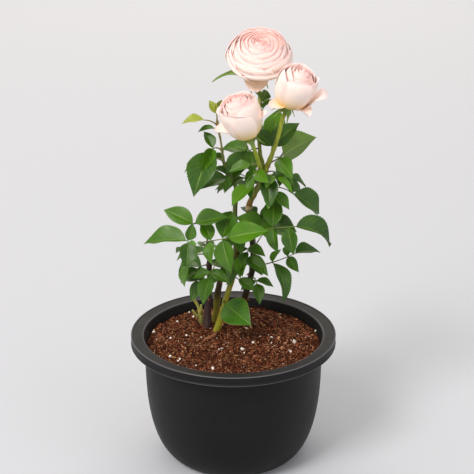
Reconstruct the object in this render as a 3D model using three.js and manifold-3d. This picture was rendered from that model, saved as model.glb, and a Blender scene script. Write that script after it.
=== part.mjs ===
// A rose bush in a round nursery pot, in millimetres, +Z up.
// The origin is at the centre of the pot's underside and the photographed side faces -Y.
// The pot and its soil are turned shapes. Each cane is one tapering limb through named stations.
// Each compound leaf grows from its cane by one rule: a bending stalk, pairs of leaflets and a tip leaflet.
// Each bloom is a turned cup of stepped petal rims with broad guard petals fused to it.
import * as THREE from 'three';
import { mergeVertices } from 'three/addons/utils/BufferGeometryUtils.js';
import Module from 'manifold-3d';

const wasm = await Module();
wasm.setup();
const { Manifold, Mesh } = wasm;

// Pot: a 230 mm rim, 146 mm high, moulded wall
const POT_HEIGHT = 146;
const RIM_RADIUS = 115;
const RIM_INNER = 99.5;
const SKIRT_BOTTOM = 135;
const BASE_RADIUS = 66;
const SHOULDER_RADIUS = 99.5;
const SHOULDER_HEIGHT = 130;
const WALL = 2.4;
const FLOOR = 3;
// Soil: its top lies 11 mm below the rim
const SOIL_TOP = 135;
// The slit left between two solids that touch in the real plant
const SLIT = 0.3;
const FOOT = SOIL_TOP + SLIT;
const STALK_RADIUS = 1;
const LEAF_THICKNESS = 1.1;
const LEAF_WIDTH = 0.68;

const rad = THREE.MathUtils.degToRad;
const vec = (x, y, z) => new THREE.Vector3(x, y, z);

// A closed body from loose triangles, ready for joining
function solid(geometry) {
  const plain = geometry.index ? geometry.clone() : geometry;
  plain.deleteAttribute('normal');
  plain.deleteAttribute('uv');
  const welded = mergeVertices(plain, 1e-4);
  const position = welded.attributes.position;
  const vertProperties = new Float32Array(position.count * 3);
  for (let i = 0; i < position.count; i += 1) {
    vertProperties[3 * i] = position.getX(i);
    vertProperties[3 * i + 1] = position.getY(i);
    vertProperties[3 * i + 2] = position.getZ(i);
  }
  const corners = welded.index.array;
  const kept = [];
  for (let i = 0; i < corners.length; i += 3) {
    const [a, b, c] = [corners[i], corners[i + 1], corners[i + 2]];
    if (a !== b && b !== c && a !== c) kept.push(a, b, c);
  }
  return new Manifold(new Mesh({ numProp: 3, vertProperties, triVerts: new Uint32Array(kept) }));
}

// The geometry of a joined body
function geometryOf(body) {
  const mesh = body.getMesh();
  const geometry = new THREE.BufferGeometry();
  geometry.setAttribute('position', new THREE.BufferAttribute(mesh.vertProperties.slice(), 3));
  geometry.setIndex(new THREE.BufferAttribute(mesh.triVerts.slice(), 1));
  return geometry;
}

// Triangles between rows of points, each row closed on itself, with a fan over both ends
function skin(rows) {
  const points = [];
  const quad = (a, b, c, d) => points.push(a, b, c, a, c, d);
  for (let i = 0; i + 1 < rows.length; i += 1) {
    const n = rows[i].length;
    for (let j = 0; j < n; j += 1) {
      const k = (j + 1) % n;
      quad(rows[i][j], rows[i][k], rows[i + 1][k], rows[i + 1][j]);
    }
  }
  for (const [row, turned] of [[rows[0], true], [rows[rows.length - 1], false]]) {
    for (let j = 1; j + 1 < row.length; j += 1) {
      if (turned) points.push(row[0], row[j + 1], row[j]);
      else points.push(row[0], row[j], row[j + 1]);
    }
  }
  return new THREE.BufferGeometry().setFromPoints(points);
}

// Heading and rise in degrees to a direction: heading 0 is +X, 90 is +Y
function compass(heading, rise) {
  const h = rad(heading);
  const r = rad(rise);
  return vec(Math.cos(h) * Math.cos(r), Math.sin(h) * Math.cos(r), Math.sin(r));
}

const turned = (v, axis, degrees) => v.clone().applyAxisAngle(axis, rad(degrees));

// Canes: stations [x, y, z, radius], from the soil to the tip
const CANES = {
  cane_front: [
    [-19, 24, FOOT, 4.3], [-13, 23, 157, 3.6], [-7, 22, 180, 3.5], [0, 20, 207, 3.3], [3, 17, 245, 3],
    [2, 13, 282, 2.7], [3, 8, 309, 2.4], [-3, 6, 328, 1.8], [-10, 6, 341, 1.5], [-12, 8, 356, 1.3],
    [-15, 11, 373, 1.2], [-17, 12, 385, 1],
  ],
  cane_back: [
    [3, 41, FOOT, 5], [9, 39, 155, 4.2], [15, 36, 179, 4], [22, 33, 211, 3.7], [21, 26, 250, 3.4],
    [17, 15, 286, 3.5], [23, 10, 304, 2.9], [31, 6, 323, 2.9], [41, 3, 350, 2.5], [48, -2, 374, 2.4],
  ],
  neck_left: [[31, 6, 323, 2.4], [28, -2, 340, 2.3]],
  neck_top: [[34, 7, 330, 2.2], [29, 18, 347, 2.2], [28, 28, 372, 2.2], [29, 39, 402, 2.3]],
  cane_old_left: [
    [-30, 34, FOOT, 5], [-29, 33, 160, 4.3], [-27, 30, 190, 3.7], [-27, 24, 220, 2.7], [-28, 17, 245, 2],
  ],
  cane_old_back: [[-21, 51, FOOT, 4.6], [-18, 47, 171, 3.9], [-12, 41, 203, 3.2], [-4, 34, 230, 2.3]],
};

// Blooms: the point where the petals meet the hip, the axis, and the cup as [radius, height, waviness]
const BLOOMS = {
  top: {
    base: [28, 43, 430],
    axis: [0, -0.42, 0.91],
    hip: 5,
    cup: [
      [4, 0.3, 0], [17, 5, 0.02], [29, 11, 0.03], [36, 18, 0.04], [38, 25, 0.04], [35, 26, 0.03],
      [36, 31, 0.03], [32, 30.5, 0.03], [31.5, 36, 0.03], [27, 35, 0.03], [26, 40, 0.03], [21, 38.5, 0.03],
      [19, 43, 0.03], [13.5, 41, 0.03], [12, 45, 0.03], [6, 43, 0.03], [4.5, 46, 0.03],
    ],
    guards: [[-100, 30, 26, 2, 20], [-10, 34, 30, 8, 10], [110, 34, 30, 8, 10], [190, 33, 28, 8, 14]],
    sepals: [
      [-165, 40, -8, 24], [-95, 16, -40, 40], [-40, 18, -30, 40], [50, 24, -14, 40], [130, 24, -14, 40],
    ],
  },
  left: {
    base: [17, -15, 375],
    axis: [-16, -12, 46],
    hip: 4.6,
    cup: [
      [3.8, 0.3, 0], [12, 3, 0.02], [19, 8, 0.03], [23, 17, 0.04], [24, 27, 0.04], [22.5, 36, 0.05],
      [19.5, 43, 0.08], [16, 40, 0.05], [13.5, 46, 0.06], [9.5, 43, 0.05], [7.5, 48.5, 0.05], [3.5, 45, 0.03],
    ],
    guards: [[180, 24, 22, 22, 60], [-20, 25, 20, 62, 10]],
    sepals: [
      [-10, 22, -12, 30], [-85, 17, -24, 40], [60, 20, -20, 40], [130, 20, -20, 40], [-155, 18, -24, 40],
    ],
  },
  right: {
    base: [57, -9, 406],
    axis: [15, -14, 42],
    hip: 4.8,
    cup: [
      [3.8, 0.3, 0], [11, 3, 0.02], [18, 8, 0.03], [22, 16, 0.04], [23.5, 25, 0.04], [22.5, 33, 0.05],
      [20, 40, 0.08], [16, 37, 0.05], [13.5, 43, 0.06], [9, 40, 0.05], [7.5, 45.5, 0.05], [3.5, 42, 0.03],
    ],
    guards: [[0, 34, 24, 34, 60], [-50, 28, 24, 12, 50], [185, 25, 22, 46, 20]],
    sepals: [
      [-150, 20, -34, 34], [-70, 18, -50, 20], [20, 20, -24, 40], [95, 22, -20, 40], [160, 20, -24, 40],
    ],
  },
};
const HIP_LENGTH = 9;

// Leaves: cane, height on it, heading, rise, then what differs from a plain leaf of three leaflets
const LEAVES = {
  leaf_left_arching: ['cane_old_left', 245, -116, 70, {
    sag: 112, swing: 26, stalk: 60, gap: 38, pairs: 2, blade: 44, spread: 70,
    R1: { size: 1.15, spread: 24, droop: -35, roll: -55 }, L1: { size: 1.2, spread: 42, droop: -26, roll: 40 },
    R2: { size: 1.25, spread: 32, droop: 4, roll: 5 }, L2: { size: 0.75, spread: -35, droop: -75 },
    T: { droop: -30, size: 0.78 } }],
  leaf_front_centre: ['cane_old_left', 238, -122, 34, {
    sag: 20, swing: 114, stalk: 48, gap: 15, pairs: 2, blade: 46, roll: 48, spread: 80,
    R1: { size: 0.8 }, L1: { size: 0.8 }, L2: { size: 0.8 }, R2: { size: 0.95 }, T: { droop: -8 } }],
  leaf_right_upper: ['cane_back', 243, -82, 44, {
    sag: 40, swing: 78, stalk: 44, gap: 17, pairs: 2, blade: 50, roll: 52, spread: 80,
    L1: { size: 1.2, spread: 20, roll: 8 }, R1: { size: 0.75 }, L2: null, R2: { size: 0.7 },
    T: { size: 1.22, droop: 36, curl: 38, roll: -20 } }],
  leaf_right_lower: ['cane_back', 211, -72, 22, {
    sag: -6, swing: 76, stalk: 34, gap: 20, pairs: 2, blade: 36, roll: 40, spread: 75,
    R1: { size: 1.9, droop: 40, spread: 4, curl: 44, roll: -75 }, L1: { size: 0.8 }, R2: { size: 0.7 },
    L2: { size: 0.6 }, T: { droop: 25 } }],
  leaf_left_low: ['cane_old_back', 222, -108, 26, {
    sag: 60, stalk: 54, gap: 14, blade: 28, spread: 75, T: { size: 1.2 } }],
  leaf_front_low: ['cane_front', 174, -120, 4, {
    sag: 14, swing: 68, stalk: 5, gap: 5, pairs: 0, blade: 46, roll: 38, curl: 14 }],
  leaf_centre_back: ['cane_back', 266, 80, 20, {
    sag: 24, swing: -50, stalk: 10, gap: 14, blade: 38, roll: 20, spread: 70 }],
  leaf_right_drooping: ['cane_back', 308, 0, 22, {
    sag: 66, swing: 18, stalk: 32, gap: 14, blade: 54, roll: 48, spread: 60,
    R1: null, L1: { size: 0.6 }, T: { spread: -14 } }],
  leaf_shoot_low: ['cane_front', 326, -135, 20, {
    sag: 24, stalk: 2, gap: 8, blade: 38, roll: -30, spread: 60,
    L1: { size: 0.6, droop: 40 }, R1: { size: 0.7 } }],
  leaf_shoot_large: ['cane_front', 354, -165, 34, {
    sag: 70, swing: 50, stalk: 9, gap: 12, blade: 56, roll: -10, spread: 60,
    L1: { size: 0.75, spread: -30, droop: 20 }, R1: { size: 0.5, droop: -50, spread: 50 } }],
  leaf_young_side: ['cane_front', 380, -170, 40, {
    sag: 38, stalk: 9, gap: 10, pairs: 0, blade: 25, roll: -20 }],
  leaf_young_tip: ['cane_front', 385, 100, 76, { stalk: 7, gap: 6, blade: 20, spread: 25, T: null }],
  leaf_shoot_small: ['cane_front', 377, 180, 5, { sag: 10, stalk: 1, gap: 3, pairs: 0, blade: 19, roll: -20 }],
  leaf_under_bloom: ['neck_top', 341, 150, 30, {
    sag: 24, stalk: 6, gap: 14, blade: 38, roll: -30, spread: 60, R1: null, L1: { size: 0.7 } }],
  leaf_neck_left: ['neck_left', 341, -170, 10, { sag: 20, stalk: 2, gap: 8, pairs: 0, blade: 26, roll: -30 }],
  leaf_right_behind: ['cane_back', 346, 75, 55, {
    stalk: 8, gap: 12, blade: 42, spread: 50,
    R1: { droop: -24, size: 1.1, spread: -5 }, L1: { size: 0.8, droop: -20 } }],
  leaf_right_raised: ['cane_back', 340, 10, 25, {
    swing: 15, stalk: 10, gap: 12, blade: 50, roll: -10, spread: 70,
    R1: { spread: 26, droop: 30, size: 0.8 }, L1: { size: 0.5 }, T: { roll: -65 } }],
  leaf_right_small: ['cane_back', 326, 10, 5, {
    sag: 30, swing: 15, stalk: 22, gap: 10, blade: 28, roll: 20, spread: 60 }],
  leaf_fork_hanging: ['cane_back', 331, -70, 4, { sag: 50, swing: -14, stalk: 3, gap: 8, pairs: 0, blade: 36 }],
  leaf_between_blooms: ['neck_top', 388, -40, 50, { stalk: 1, gap: 5, pairs: 0, blade: 20 }],
  leaf_inner_front: ['cane_front', 230, -38, 12, {
    sag: 30, stalk: 6, gap: 12, blade: 34, roll: 24, spread: 62, L1: null }],
  leaf_inner_low: ['cane_front', 206, -70, -6, {
    sag: 20, swing: 50, stalk: 4, gap: 6, pairs: 0, blade: 24, roll: 40 }],
  leaf_inner_right: ['cane_back', 232, -92, -6, {
    sag: 20, swing: 20, stalk: 8, gap: 8, blade: 26, roll: 30, R1: null, L1: null }],
  leaf_inner_left: ['cane_old_left', 216, -150, 6, { sag: 30, stalk: 8, gap: 9, blade: 26, roll: -20 }],
  leaf_mid_left: ['cane_back', 320, -132, 2, { sag: 20, stalk: 10, gap: 8, pairs: 0, blade: 34, roll: -10 }],
  leaf_mid_right: ['cane_back', 312, -25, 6, { sag: 40, stalk: 10, gap: 9, blade: 27, roll: 25, L1: null }],
  leaf_rear_low: ['cane_old_back', 212, 120, 24, {
    sag: 40, swing: 20, stalk: 28, gap: 16, pairs: 2, blade: 38, spread: 70 }],
  leaf_rear_right: ['cane_back', 232, 60, 30, {
    sag: 50, swing: 20, stalk: 30, gap: 16, pairs: 2, blade: 40, spread: 70 }],
  leaf_rear_centre: ['cane_back', 302, 110, 20, {
    sag: 40, swing: -20, stalk: 24, gap: 16, pairs: 2, blade: 42, spread: 70 }],
  leaf_rear_top: ['neck_top', 362, 60, 35, { sag: 60, swing: 20, stalk: 18, gap: 14, blade: 44, spread: 70 }],
  leaf_rear_left: ['cane_front', 342, 130, 10, { sag: 40, stalk: 24, gap: 14, blade: 38, spread: 70 }],
};

// Smooth line through stations: six steps between two of them, with the radius carried along
function smoothed(stations, steps) {
  const rows = [];
  const at = (i) => stations[Math.min(Math.max(i, 0), stations.length - 1)];
  for (let i = 0; i + 1 < stations.length; i += 1) {
    const [a, b, c, d] = [at(i - 1), at(i), at(i + 1), at(i + 2)];
    for (let k = 0; k < steps; k += 1) {
      const t = k / steps;
      const mix = (j) => 0.5 * (2 * b[j] + (c[j] - a[j]) * t + (2 * a[j] - 5 * b[j] + 4 * c[j] - d[j]) * t * t
        + (3 * b[j] - a[j] - 3 * c[j] + d[j]) * t * t * t);
      rows.push([mix(0), mix(1), mix(2), b[3] + (c[3] - b[3]) * t]);
    }
  }
  rows.push(stations[stations.length - 1]);
  return rows;
}

// A limb of round section round a line of [x, y, z, radius], with a level cut where it leaves the soil
function limb(rows, sides) {
  const rings = [];
  let side = vec(0, -1, 0);
  rows.forEach((row, i) => {
    const here = vec(row[0], row[1], row[2]);
    const before = rows[Math.max(i - 1, 0)];
    const after = rows[Math.min(i + 1, rows.length - 1)];
    const along = vec(after[0] - before[0], after[1] - before[1], after[2] - before[2]).normalize();
    if (row[2] === FOOT) along.set(0, 0, 1);
    side = side.clone().addScaledVector(along, -side.dot(along)).normalize();
    const other = along.clone().cross(side);
    const ring = [];
    for (let k = 0; k < sides; k += 1) {
      const a = (2 * Math.PI * k) / sides;
      const point = here.clone().addScaledVector(side, row[3] * Math.cos(a));
      ring.push(point.addScaledVector(other, row[3] * Math.sin(a)));
    }
    rings.push(ring);
  });
  return solid(skin(rings));
}

// A flower stem, cut where it leaves its cane so that it lies a slit clear of it
function branch(rows, cane, sides) {
  const flat = Math.cos(Math.PI / sides);
  const sleeve = cane.map(([x, y, z, radius]) => [x, y, z, radius + (SLIT + 0.05) / flat]);
  const pieces = limb(rows, sides).subtract(limb(sleeve, sides)).decompose();
  return pieces.reduce((best, next) => (next.volume() > best.volume() ? next : best));
}

// Directions at one point of a leaf: along, to its right, and out of its face
function leafFrame(heading, rise, roll) {
  const along = compass(heading, rise);
  const right = vec(Math.sin(rad(heading)), -Math.cos(rad(heading)), 0);
  const face = right.clone().cross(along);
  return [along, turned(right, along, roll), turned(face, along, roll)];
}

// One leaflet: an egg-shaped blade on a short neck, lens-shaped across, folded up along its midrib
// and curling down towards its tip
function leaflet(base, along, face, length, width, curl, fold) {
  const shares = [0, 0.06, 0.2, 0.46, 0.78, 1];
  const right = along.clone().cross(face);
  const rings = [];
  const here = base.clone().addScaledVector(along, -0.3);
  let last = 0;
  for (const t of shares) {
    here.addScaledVector(turned(along, right, curl * (0.35 - (t + last) / 2)), (t - last) * length);
    const up = turned(face, right, curl * (0.35 - t));
    const egg = t > 0.06 ? Math.sin(Math.PI * ((t - 0.05) / 0.95) ** 0.72) : 0;
    const half = Math.max(0.5, (width / 2) * egg);
    const out = right.clone().multiplyScalar(half * Math.cos(rad(fold)));
    const lift = up.clone().multiplyScalar(half * Math.sin(rad(fold)) - LEAF_THICKNESS / 2);
    const under = here.clone().addScaledVector(up, -LEAF_THICKNESS);
    rings.push([here.clone().add(out).add(lift), under, here.clone().sub(out).add(lift), here.clone()]);
    last = t;
  }
  return solid(skin(rings));
}

// The parts of one compound leaf: its stalk, then its leaflets by name
function growLeaf(rows, [, height, heading, rise, habit]) {
  const plain = { sag: 0, swing: 0, roll: 0, pairs: 1, curl: 30, fold: 16, droop: 12, spread: 60 };
  const h = { ...plain, ...habit };
  const marks = [];
  for (let k = 0; k < h.pairs; k += 1) marks.push(h.stalk + k * h.gap);
  const total = (marks.length ? marks[marks.length - 1] : h.stalk) + 0.4 * h.gap;
  const above = Math.max(1, rows.findIndex((row) => row[2] >= Math.min(height, rows[rows.length - 1][2])));
  const [before, after] = [rows[above - 1], rows[above]];
  const share = Math.min(1, (height - before[2]) / (after[2] - before[2]));
  const row = before.map((value, i) => value + (after[i] - value) * share);
  const limbAxis = vec(after[0] - before[0], after[1] - before[1], after[2] - before[2]).normalize();
  const first = compass(heading, rise);
  const slant = Math.min(0.98, Math.abs(first.dot(limbAxis)));
  const upright = Math.sqrt(1 - slant * slant);
  const atTip = height >= rows[rows.length - 1][2];
  const reach = atTip ? SLIT + STALK_RADIUS / 2 : (row[3] + SLIT + 0.05 + STALK_RADIUS * slant) / upright;
  const here = vec(row[0], row[1], row[2]).addScaledVector(first, reach);
  const line = [[here.x, here.y, here.z, STALK_RADIUS, 0]];
  const steps = 6;
  for (let k = 0; k < steps; k += 1) {
    const s = (k + 0.5) / steps;
    here.addScaledVector(compass(heading + h.swing * s, rise - h.sag * s), total / steps);
    const done = (k + 1) / steps;
    line.push([here.x, here.y, here.z, STALK_RADIUS * (1 - 0.4 * done), total * done]);
  }
  const pointAt = (distance) => {
    const k = Math.min(steps - 1, Math.floor((distance / total) * steps));
    const t = (distance - line[k][4]) / (line[k + 1][4] - line[k][4]);
    return vec(...[0, 1, 2].map((j) => line[k][j] + (line[k + 1][j] - line[k][j]) * t));
  };
  const parts = { stalk: limb(line, 3) };
  const blade = (name, distance, frame, side, spread, droop, size) => {
    if (h[name] === null) return;
    const own = { spread: 0, droop: 0, roll: 0, curl: 0, size: 1, ...h[name] };
    const [along, right, face] = frame;
    const angle = rad(spread + own.spread);
    const out = along.clone().multiplyScalar(Math.cos(angle)).addScaledVector(right, side * Math.sin(angle));
    out.addScaledVector(face, -Math.sin(rad(droop + own.droop))).normalize();
    const up = face.clone().addScaledVector(out, -face.dot(out)).normalize();
    const length = size * own.size;
    parts[name] = leaflet(pointAt(distance), out, turned(up, out, own.roll), length, length * LEAF_WIDTH,
      h.curl + own.curl, h.fold);
  };
  marks.forEach((distance, k) => {
    const s = distance / total;
    const frame = leafFrame(heading + h.swing * s, rise - h.sag * s, h.roll);
    const size = h.blade * (h.pairs === 1 ? 0.85 : [0.75, 0.9][k]);
    blade(`R${k + 1}`, distance, frame, 1, h.spread, h.droop, size);
    blade(`L${k + 1}`, distance, frame, -1, h.spread, h.droop, size);
  });
  blade('T', total - 0.01, leafFrame(heading + h.swing, rise - h.sag, h.roll), 1, 0, h.droop / 2, h.blade);
  return parts;
}

const joined = (parts) => Object.values(parts).reduce((sum, next) => sum.add(next));

// The frame of a bloom: its base, its axis and two directions across it
function bloomFrame({ base, axis }) {
  const up = vec(...axis).normalize();
  const right = vec(1, 0, 0);
  right.addScaledVector(up, -right.dot(up)).normalize();
  const back = up.clone().cross(right);
  const origin = vec(...base);
  const turn = (x, y, z) => right.clone().multiplyScalar(x).addScaledVector(back, y).addScaledVector(up, z);
  const place = (x, y, z) => turn(x, y, z).add(origin);
  const aim = (azimuth, lift) => turn(...compass(azimuth, lift).toArray());
  return { place, aim };
}

// The petals of one bloom: a cup with stepped wavy rims, and guard petals [azimuth, length, width, rise, curl]
function petals(bloom, sides) {
  const frame = bloomFrame(bloom);
  const rings = bloom.cup.map(([radius, height, wave], i) => {
    const ring = [];
    for (let k = 0; k < sides; k += 1) {
      const a = (2 * Math.PI * k) / sides;
      const r = radius * (1 + wave * Math.cos(5 * a + 1.9 * i));
      ring.push(frame.place(r * Math.cos(a), r * Math.sin(a), height));
    }
    return ring;
  });
  const parts = [solid(skin(rings))];
  for (const [azimuth, length, width, lift, curl] of bloom.guards) {
    const a = rad(azimuth);
    const root = frame.place(7 * Math.cos(a), 7 * Math.sin(a), 4);
    const [along, face] = [frame.aim(azimuth, lift + 12), frame.aim(azimuth, lift + 102)];
    parts.push(leaflet(root, along, face, length, width, curl, 24));
  }
  return joined(parts);
}

// The hip under a bloom with its five sepals [azimuth, length, rise, curl]
function calyx(bloom) {
  const frame = bloomFrame(bloom);
  const profile = [
    [2.5, -HIP_LENGTH], [bloom.hip * 0.86, -6.4], [bloom.hip, -4], [bloom.hip * 0.96, -2], [3.4, -0.2],
  ];
  const rings = profile.map(([radius, height]) => {
    const ring = [];
    for (let k = 0; k < 10; k += 1) {
      const a = (2 * Math.PI * k) / 10;
      ring.push(frame.place(radius * Math.cos(a), radius * Math.sin(a), height));
    }
    return ring;
  });
  const parts = [solid(skin(rings))];
  for (const [azimuth, length, lift, curl] of bloom.sepals) {
    const a = rad(azimuth);
    const root = frame.place(bloom.hip * 0.5 * Math.cos(a), bloom.hip * 0.5 * Math.sin(a), -3);
    parts.push(leaflet(root, frame.aim(azimuth, lift), frame.aim(azimuth, lift + 90), length, 6, curl, 12));
  }
  return joined(parts);
}

// The stem's last stations, so that it ends square under the hip
function withEnd(stations, bloom) {
  const { place } = bloomFrame(bloom);
  const ends = [[-HIP_LENGTH - 9, 2.3], [-HIP_LENGTH - 3 * SLIT, 2.6]];
  return [...stations, ...ends.map(([height, radius]) => [...place(0, 0, height).toArray(), radius])];
}

// The pot's outside radius at a height below its shoulder
function potRadius(z) {
  const s = Math.min(1, z / SHOULDER_HEIGHT);
  return BASE_RADIUS + (SHOULDER_RADIUS - BASE_RADIUS) * (1 - (1 - s) ** 3) ** (1 / 1.8);
}

function turnedBody(profile, segments) {
  const points = profile.map(([r, z]) => new THREE.Vector2(r, z));
  points.push(points[0].clone());
  const geometry = new THREE.LatheGeometry(points, segments);
  geometry.rotateX(Math.PI / 2);
  const body = solid(geometry);
  return body.volume() > 0 ? body : solid(geometry.scale(1, -1, 1));
}

function pot() {
  const heights = [1.2, 5, 12, 26, 48, 76, 104];
  const outside = heights.map((z) => [potRadius(z), z]);
  const inside = heights.slice(2).reverse().map((z) => [potRadius(z) - WALL, z]);
  const profile = [
    [0, 0], [BASE_RADIUS - 3, 0], ...outside, [SHOULDER_RADIUS, 130], [SHOULDER_RADIUS + 0.6, 141.5],
    [RIM_RADIUS - 3.4, 141.5], [RIM_RADIUS - 3.4, SKIRT_BOTTOM], [RIM_RADIUS - 1, SKIRT_BOTTOM],
    [RIM_RADIUS, 141], [RIM_RADIUS - 1.6, 145], [RIM_RADIUS - 4, POT_HEIGHT], [RIM_INNER + 3, POT_HEIGHT],
    [RIM_INNER, 144.4], [SHOULDER_RADIUS - WALL, 138], [SHOULDER_RADIUS - WALL, 130], ...inside,
    [BASE_RADIUS - 2, FLOOR], [0, FLOOR],
  ];
  return turnedBody(profile, 32);
}

function soil() {
  const heights = [12, 26, 48, 76, 104, 130];
  const side = heights.map((z) => [potRadius(z) - WALL - SLIT - 0.35, z]);
  const profile = [
    [0, FLOOR + SLIT], [BASE_RADIUS - 3, FLOOR + SLIT], ...side, [SHOULDER_RADIUS - WALL - 1.2, SOIL_TOP - 2],
    [82, SOIL_TOP - 0.4], [60, SOIL_TOP], [0, SOIL_TOP],
  ];
  return turnedBody(profile, 32);
}

// The knobby foot between the canes, with three pruned stubs
function stubs() {
  const foot = [
    [-37, 44, FOOT, 3.2], [-37.5, 44, 140, 3], [-38, 44.5, 146, 2.4], [-41, 45, 157, 2], [-46, 44, 166, 1.7],
  ];
  const second = [[-37, 44, 141, 2], [-43, 43, 146, 1.7], [-47, 43, 152, 1.4]];
  const third = [[-38, 44.4, 146, 2], [-37, 41, 154, 1.6], [-37, 40, 160, 1.4]];
  return joined([foot, second, third].map((line) => limb(smoothed(line, 2), 7)));
}

function surfaceRoot() {
  const line = [
    [-33, -4, FOOT + 1, 1], [-28, -1, FOOT + 2.3, 2.2], [-22, 6, FOOT + 2.1, 2], [-20, 15, FOOT + 1.7, 1.6],
  ];
  return limb(smoothed(line, 2), 7);
}

// Every solid with its colour [hex, roughness]
const LOOKS = {
  pot: ['#2e2e32', 0.55],
  soil: ['#4a2c20', 0.95],
  cane: ['#8c8f2c', 0.5],
  old: ['#3f2a30', 0.8],
  stub: ['#9aa05a', 0.7],
  root: ['#a9764e', 0.85],
  bloom: ['#f7ddd0', 0.6],
  calyx: ['#7f9236', 0.55],
  leaf: ['#3f7d2b', 0.5],
  young: ['#8e8a24', 0.5],
};

const bodies = {};
const looks = {};
function keep(name, body, look) {
  bodies[name] = body;
  looks[name] = look;
}

keep('pot', pot(), 'pot');
keep('soil', soil(), 'soil');

const lines = {};
for (const [name, stations] of Object.entries(CANES)) {
  const ends = { cane_back: BLOOMS.right, neck_left: BLOOMS.left, neck_top: BLOOMS.top };
  lines[name] = smoothed(ends[name] ? withEnd(stations, ends[name]) : stations, 2);
}
keep('cane_front', limb(lines.cane_front, 8), 'cane');
keep('cane_back', limb(lines.cane_back, 8), 'cane');
keep('neck_left', branch(lines.neck_left, lines.cane_back, 8), 'cane');
keep('neck_top', branch(lines.neck_top, lines.cane_back, 8), 'cane');
keep('cane_old_left', limb(lines.cane_old_left, 8), 'old');
keep('cane_old_back', limb(lines.cane_old_back, 8), 'old');
keep('pruned_stubs', stubs(), 'stub');
keep('surface_root', surfaceRoot(), 'root');
for (const [name, bloom] of Object.entries(BLOOMS)) {
  keep(`bloom_${name}`, petals(bloom, 22), 'bloom');
  keep(`calyx_${name}`, calyx(bloom), 'calyx');
}

// A leaflet that would touch what is already there is left out of its leaf
const placed = Object.values(bodies);
for (const [name, habit] of Object.entries(LEAVES)) {
  const parts = growLeaf(lines[habit[0]], habit);
  const kept = {};
  for (const [key, part] of Object.entries(parts)) {
    if (key === 'stalk' || placed.every((other) => part.minGap(other, 1) >= SLIT)) kept[key] = part;
  }
  const body = joined(kept);
  placed.push(body);
  keep(name, body, name.startsWith('leaf_young') ? 'young' : 'leaf');
}

const group = new THREE.Group();
group.name = 'potted_rose';
for (const [name, body] of Object.entries(bodies)) {
  const [hex, roughness] = LOOKS[looks[name]];
  const material = new THREE.MeshStandardMaterial({ color: new THREE.Color(hex), roughness, metalness: 0 });
  material.name = looks[name];
  const mesh = new THREE.Mesh(geometryOf(body), material);
  mesh.name = name;
  group.add(mesh);
}

export default group;
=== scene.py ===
# A potted rose with three blush blooms, in metres, +Z up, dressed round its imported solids.
# The origin is at the centre of the pot's underside, and the photographed side faces -Y.
import itertools
import math

import bpy
import mathutils
import numpy as np
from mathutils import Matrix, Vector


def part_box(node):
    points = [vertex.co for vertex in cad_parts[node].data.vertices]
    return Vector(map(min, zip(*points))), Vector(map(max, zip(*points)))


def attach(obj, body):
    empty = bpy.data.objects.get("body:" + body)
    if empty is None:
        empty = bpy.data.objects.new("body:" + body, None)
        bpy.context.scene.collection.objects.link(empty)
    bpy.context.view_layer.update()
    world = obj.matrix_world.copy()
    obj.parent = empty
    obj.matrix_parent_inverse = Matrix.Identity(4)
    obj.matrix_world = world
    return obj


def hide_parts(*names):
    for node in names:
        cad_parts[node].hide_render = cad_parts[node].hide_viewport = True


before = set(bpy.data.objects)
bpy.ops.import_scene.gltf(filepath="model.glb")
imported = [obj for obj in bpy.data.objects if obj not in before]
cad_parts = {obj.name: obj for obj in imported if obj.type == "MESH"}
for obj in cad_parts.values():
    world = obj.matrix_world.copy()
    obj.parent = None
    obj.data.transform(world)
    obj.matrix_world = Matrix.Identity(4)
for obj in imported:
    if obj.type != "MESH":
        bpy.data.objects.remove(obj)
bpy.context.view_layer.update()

# Pot
# A round nursery pot with a flared rim and a turned-down skirt. It is injection-moulded from black
# polypropylene in a finely textured mould, so it is matt and faintly grained, and stands on its flat base.
MM = 0.001
RIM_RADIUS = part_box("pot")[1].x
POT_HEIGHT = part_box("pot")[1].z
RIM_INNER = 99.5 * MM
BASE_RADIUS = 66 * MM
SHOULDER_RADIUS = 99.5 * MM
SHOULDER_HEIGHT = 130 * MM
SKIRT_BOTTOM = 135 * MM
WALL = 2.4 * MM
FLOOR = 3 * MM
POT_SIDES = 144
MAP_NAME = "OFBake"


def linear(code):
    """A hex colour as linear RGBA: c / 12.92 up to 0.04045, and ((c + 0.055) / 1.055) ** 2.4 above it."""
    c = np.array([int(code[i : i + 2], 16) for i in (1, 3, 5)]) / 255
    return (*np.where(c <= 0.04045, c / 12.92, ((c + 0.055) / 1.055) ** 2.4).tolist(), 1.0)


def fill(node, sockets):
    """Sets a node's sockets: each takes a constant, or an output that is linked to it."""
    for name, value in sockets.items():
        if isinstance(value, bpy.types.NodeSocket):
            node.id_data.links.new(value, node.inputs[name])
        else:
            node.inputs[name].default_value = value


def add(tree, kind, sockets, out=0, **settings):
    """Adds a node of that kind with its settings and links, and gives one of its outputs."""
    node = tree.nodes.new("ShaderNode" + kind)
    for name, value in settings.items():
        setattr(node, name, value)
    fill(node, sockets)
    return node.outputs[out]


def finish(name, **sockets):
    """A material with one Principled shader, whose sockets take these constants, with _ for a space."""
    made = bpy.data.materials.new(name)
    made.use_nodes = True
    shader = made.node_tree.nodes["Principled BSDF"]
    fill(shader, {socket.replace("_", " "): value for socket, value in sockets.items()})
    return made, made.node_tree, shader


def stacked(*parts):
    """These arrays, stretched to one shape and joined along a new last axis."""
    return np.stack(np.broadcast_arrays(*parts), -1)


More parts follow.
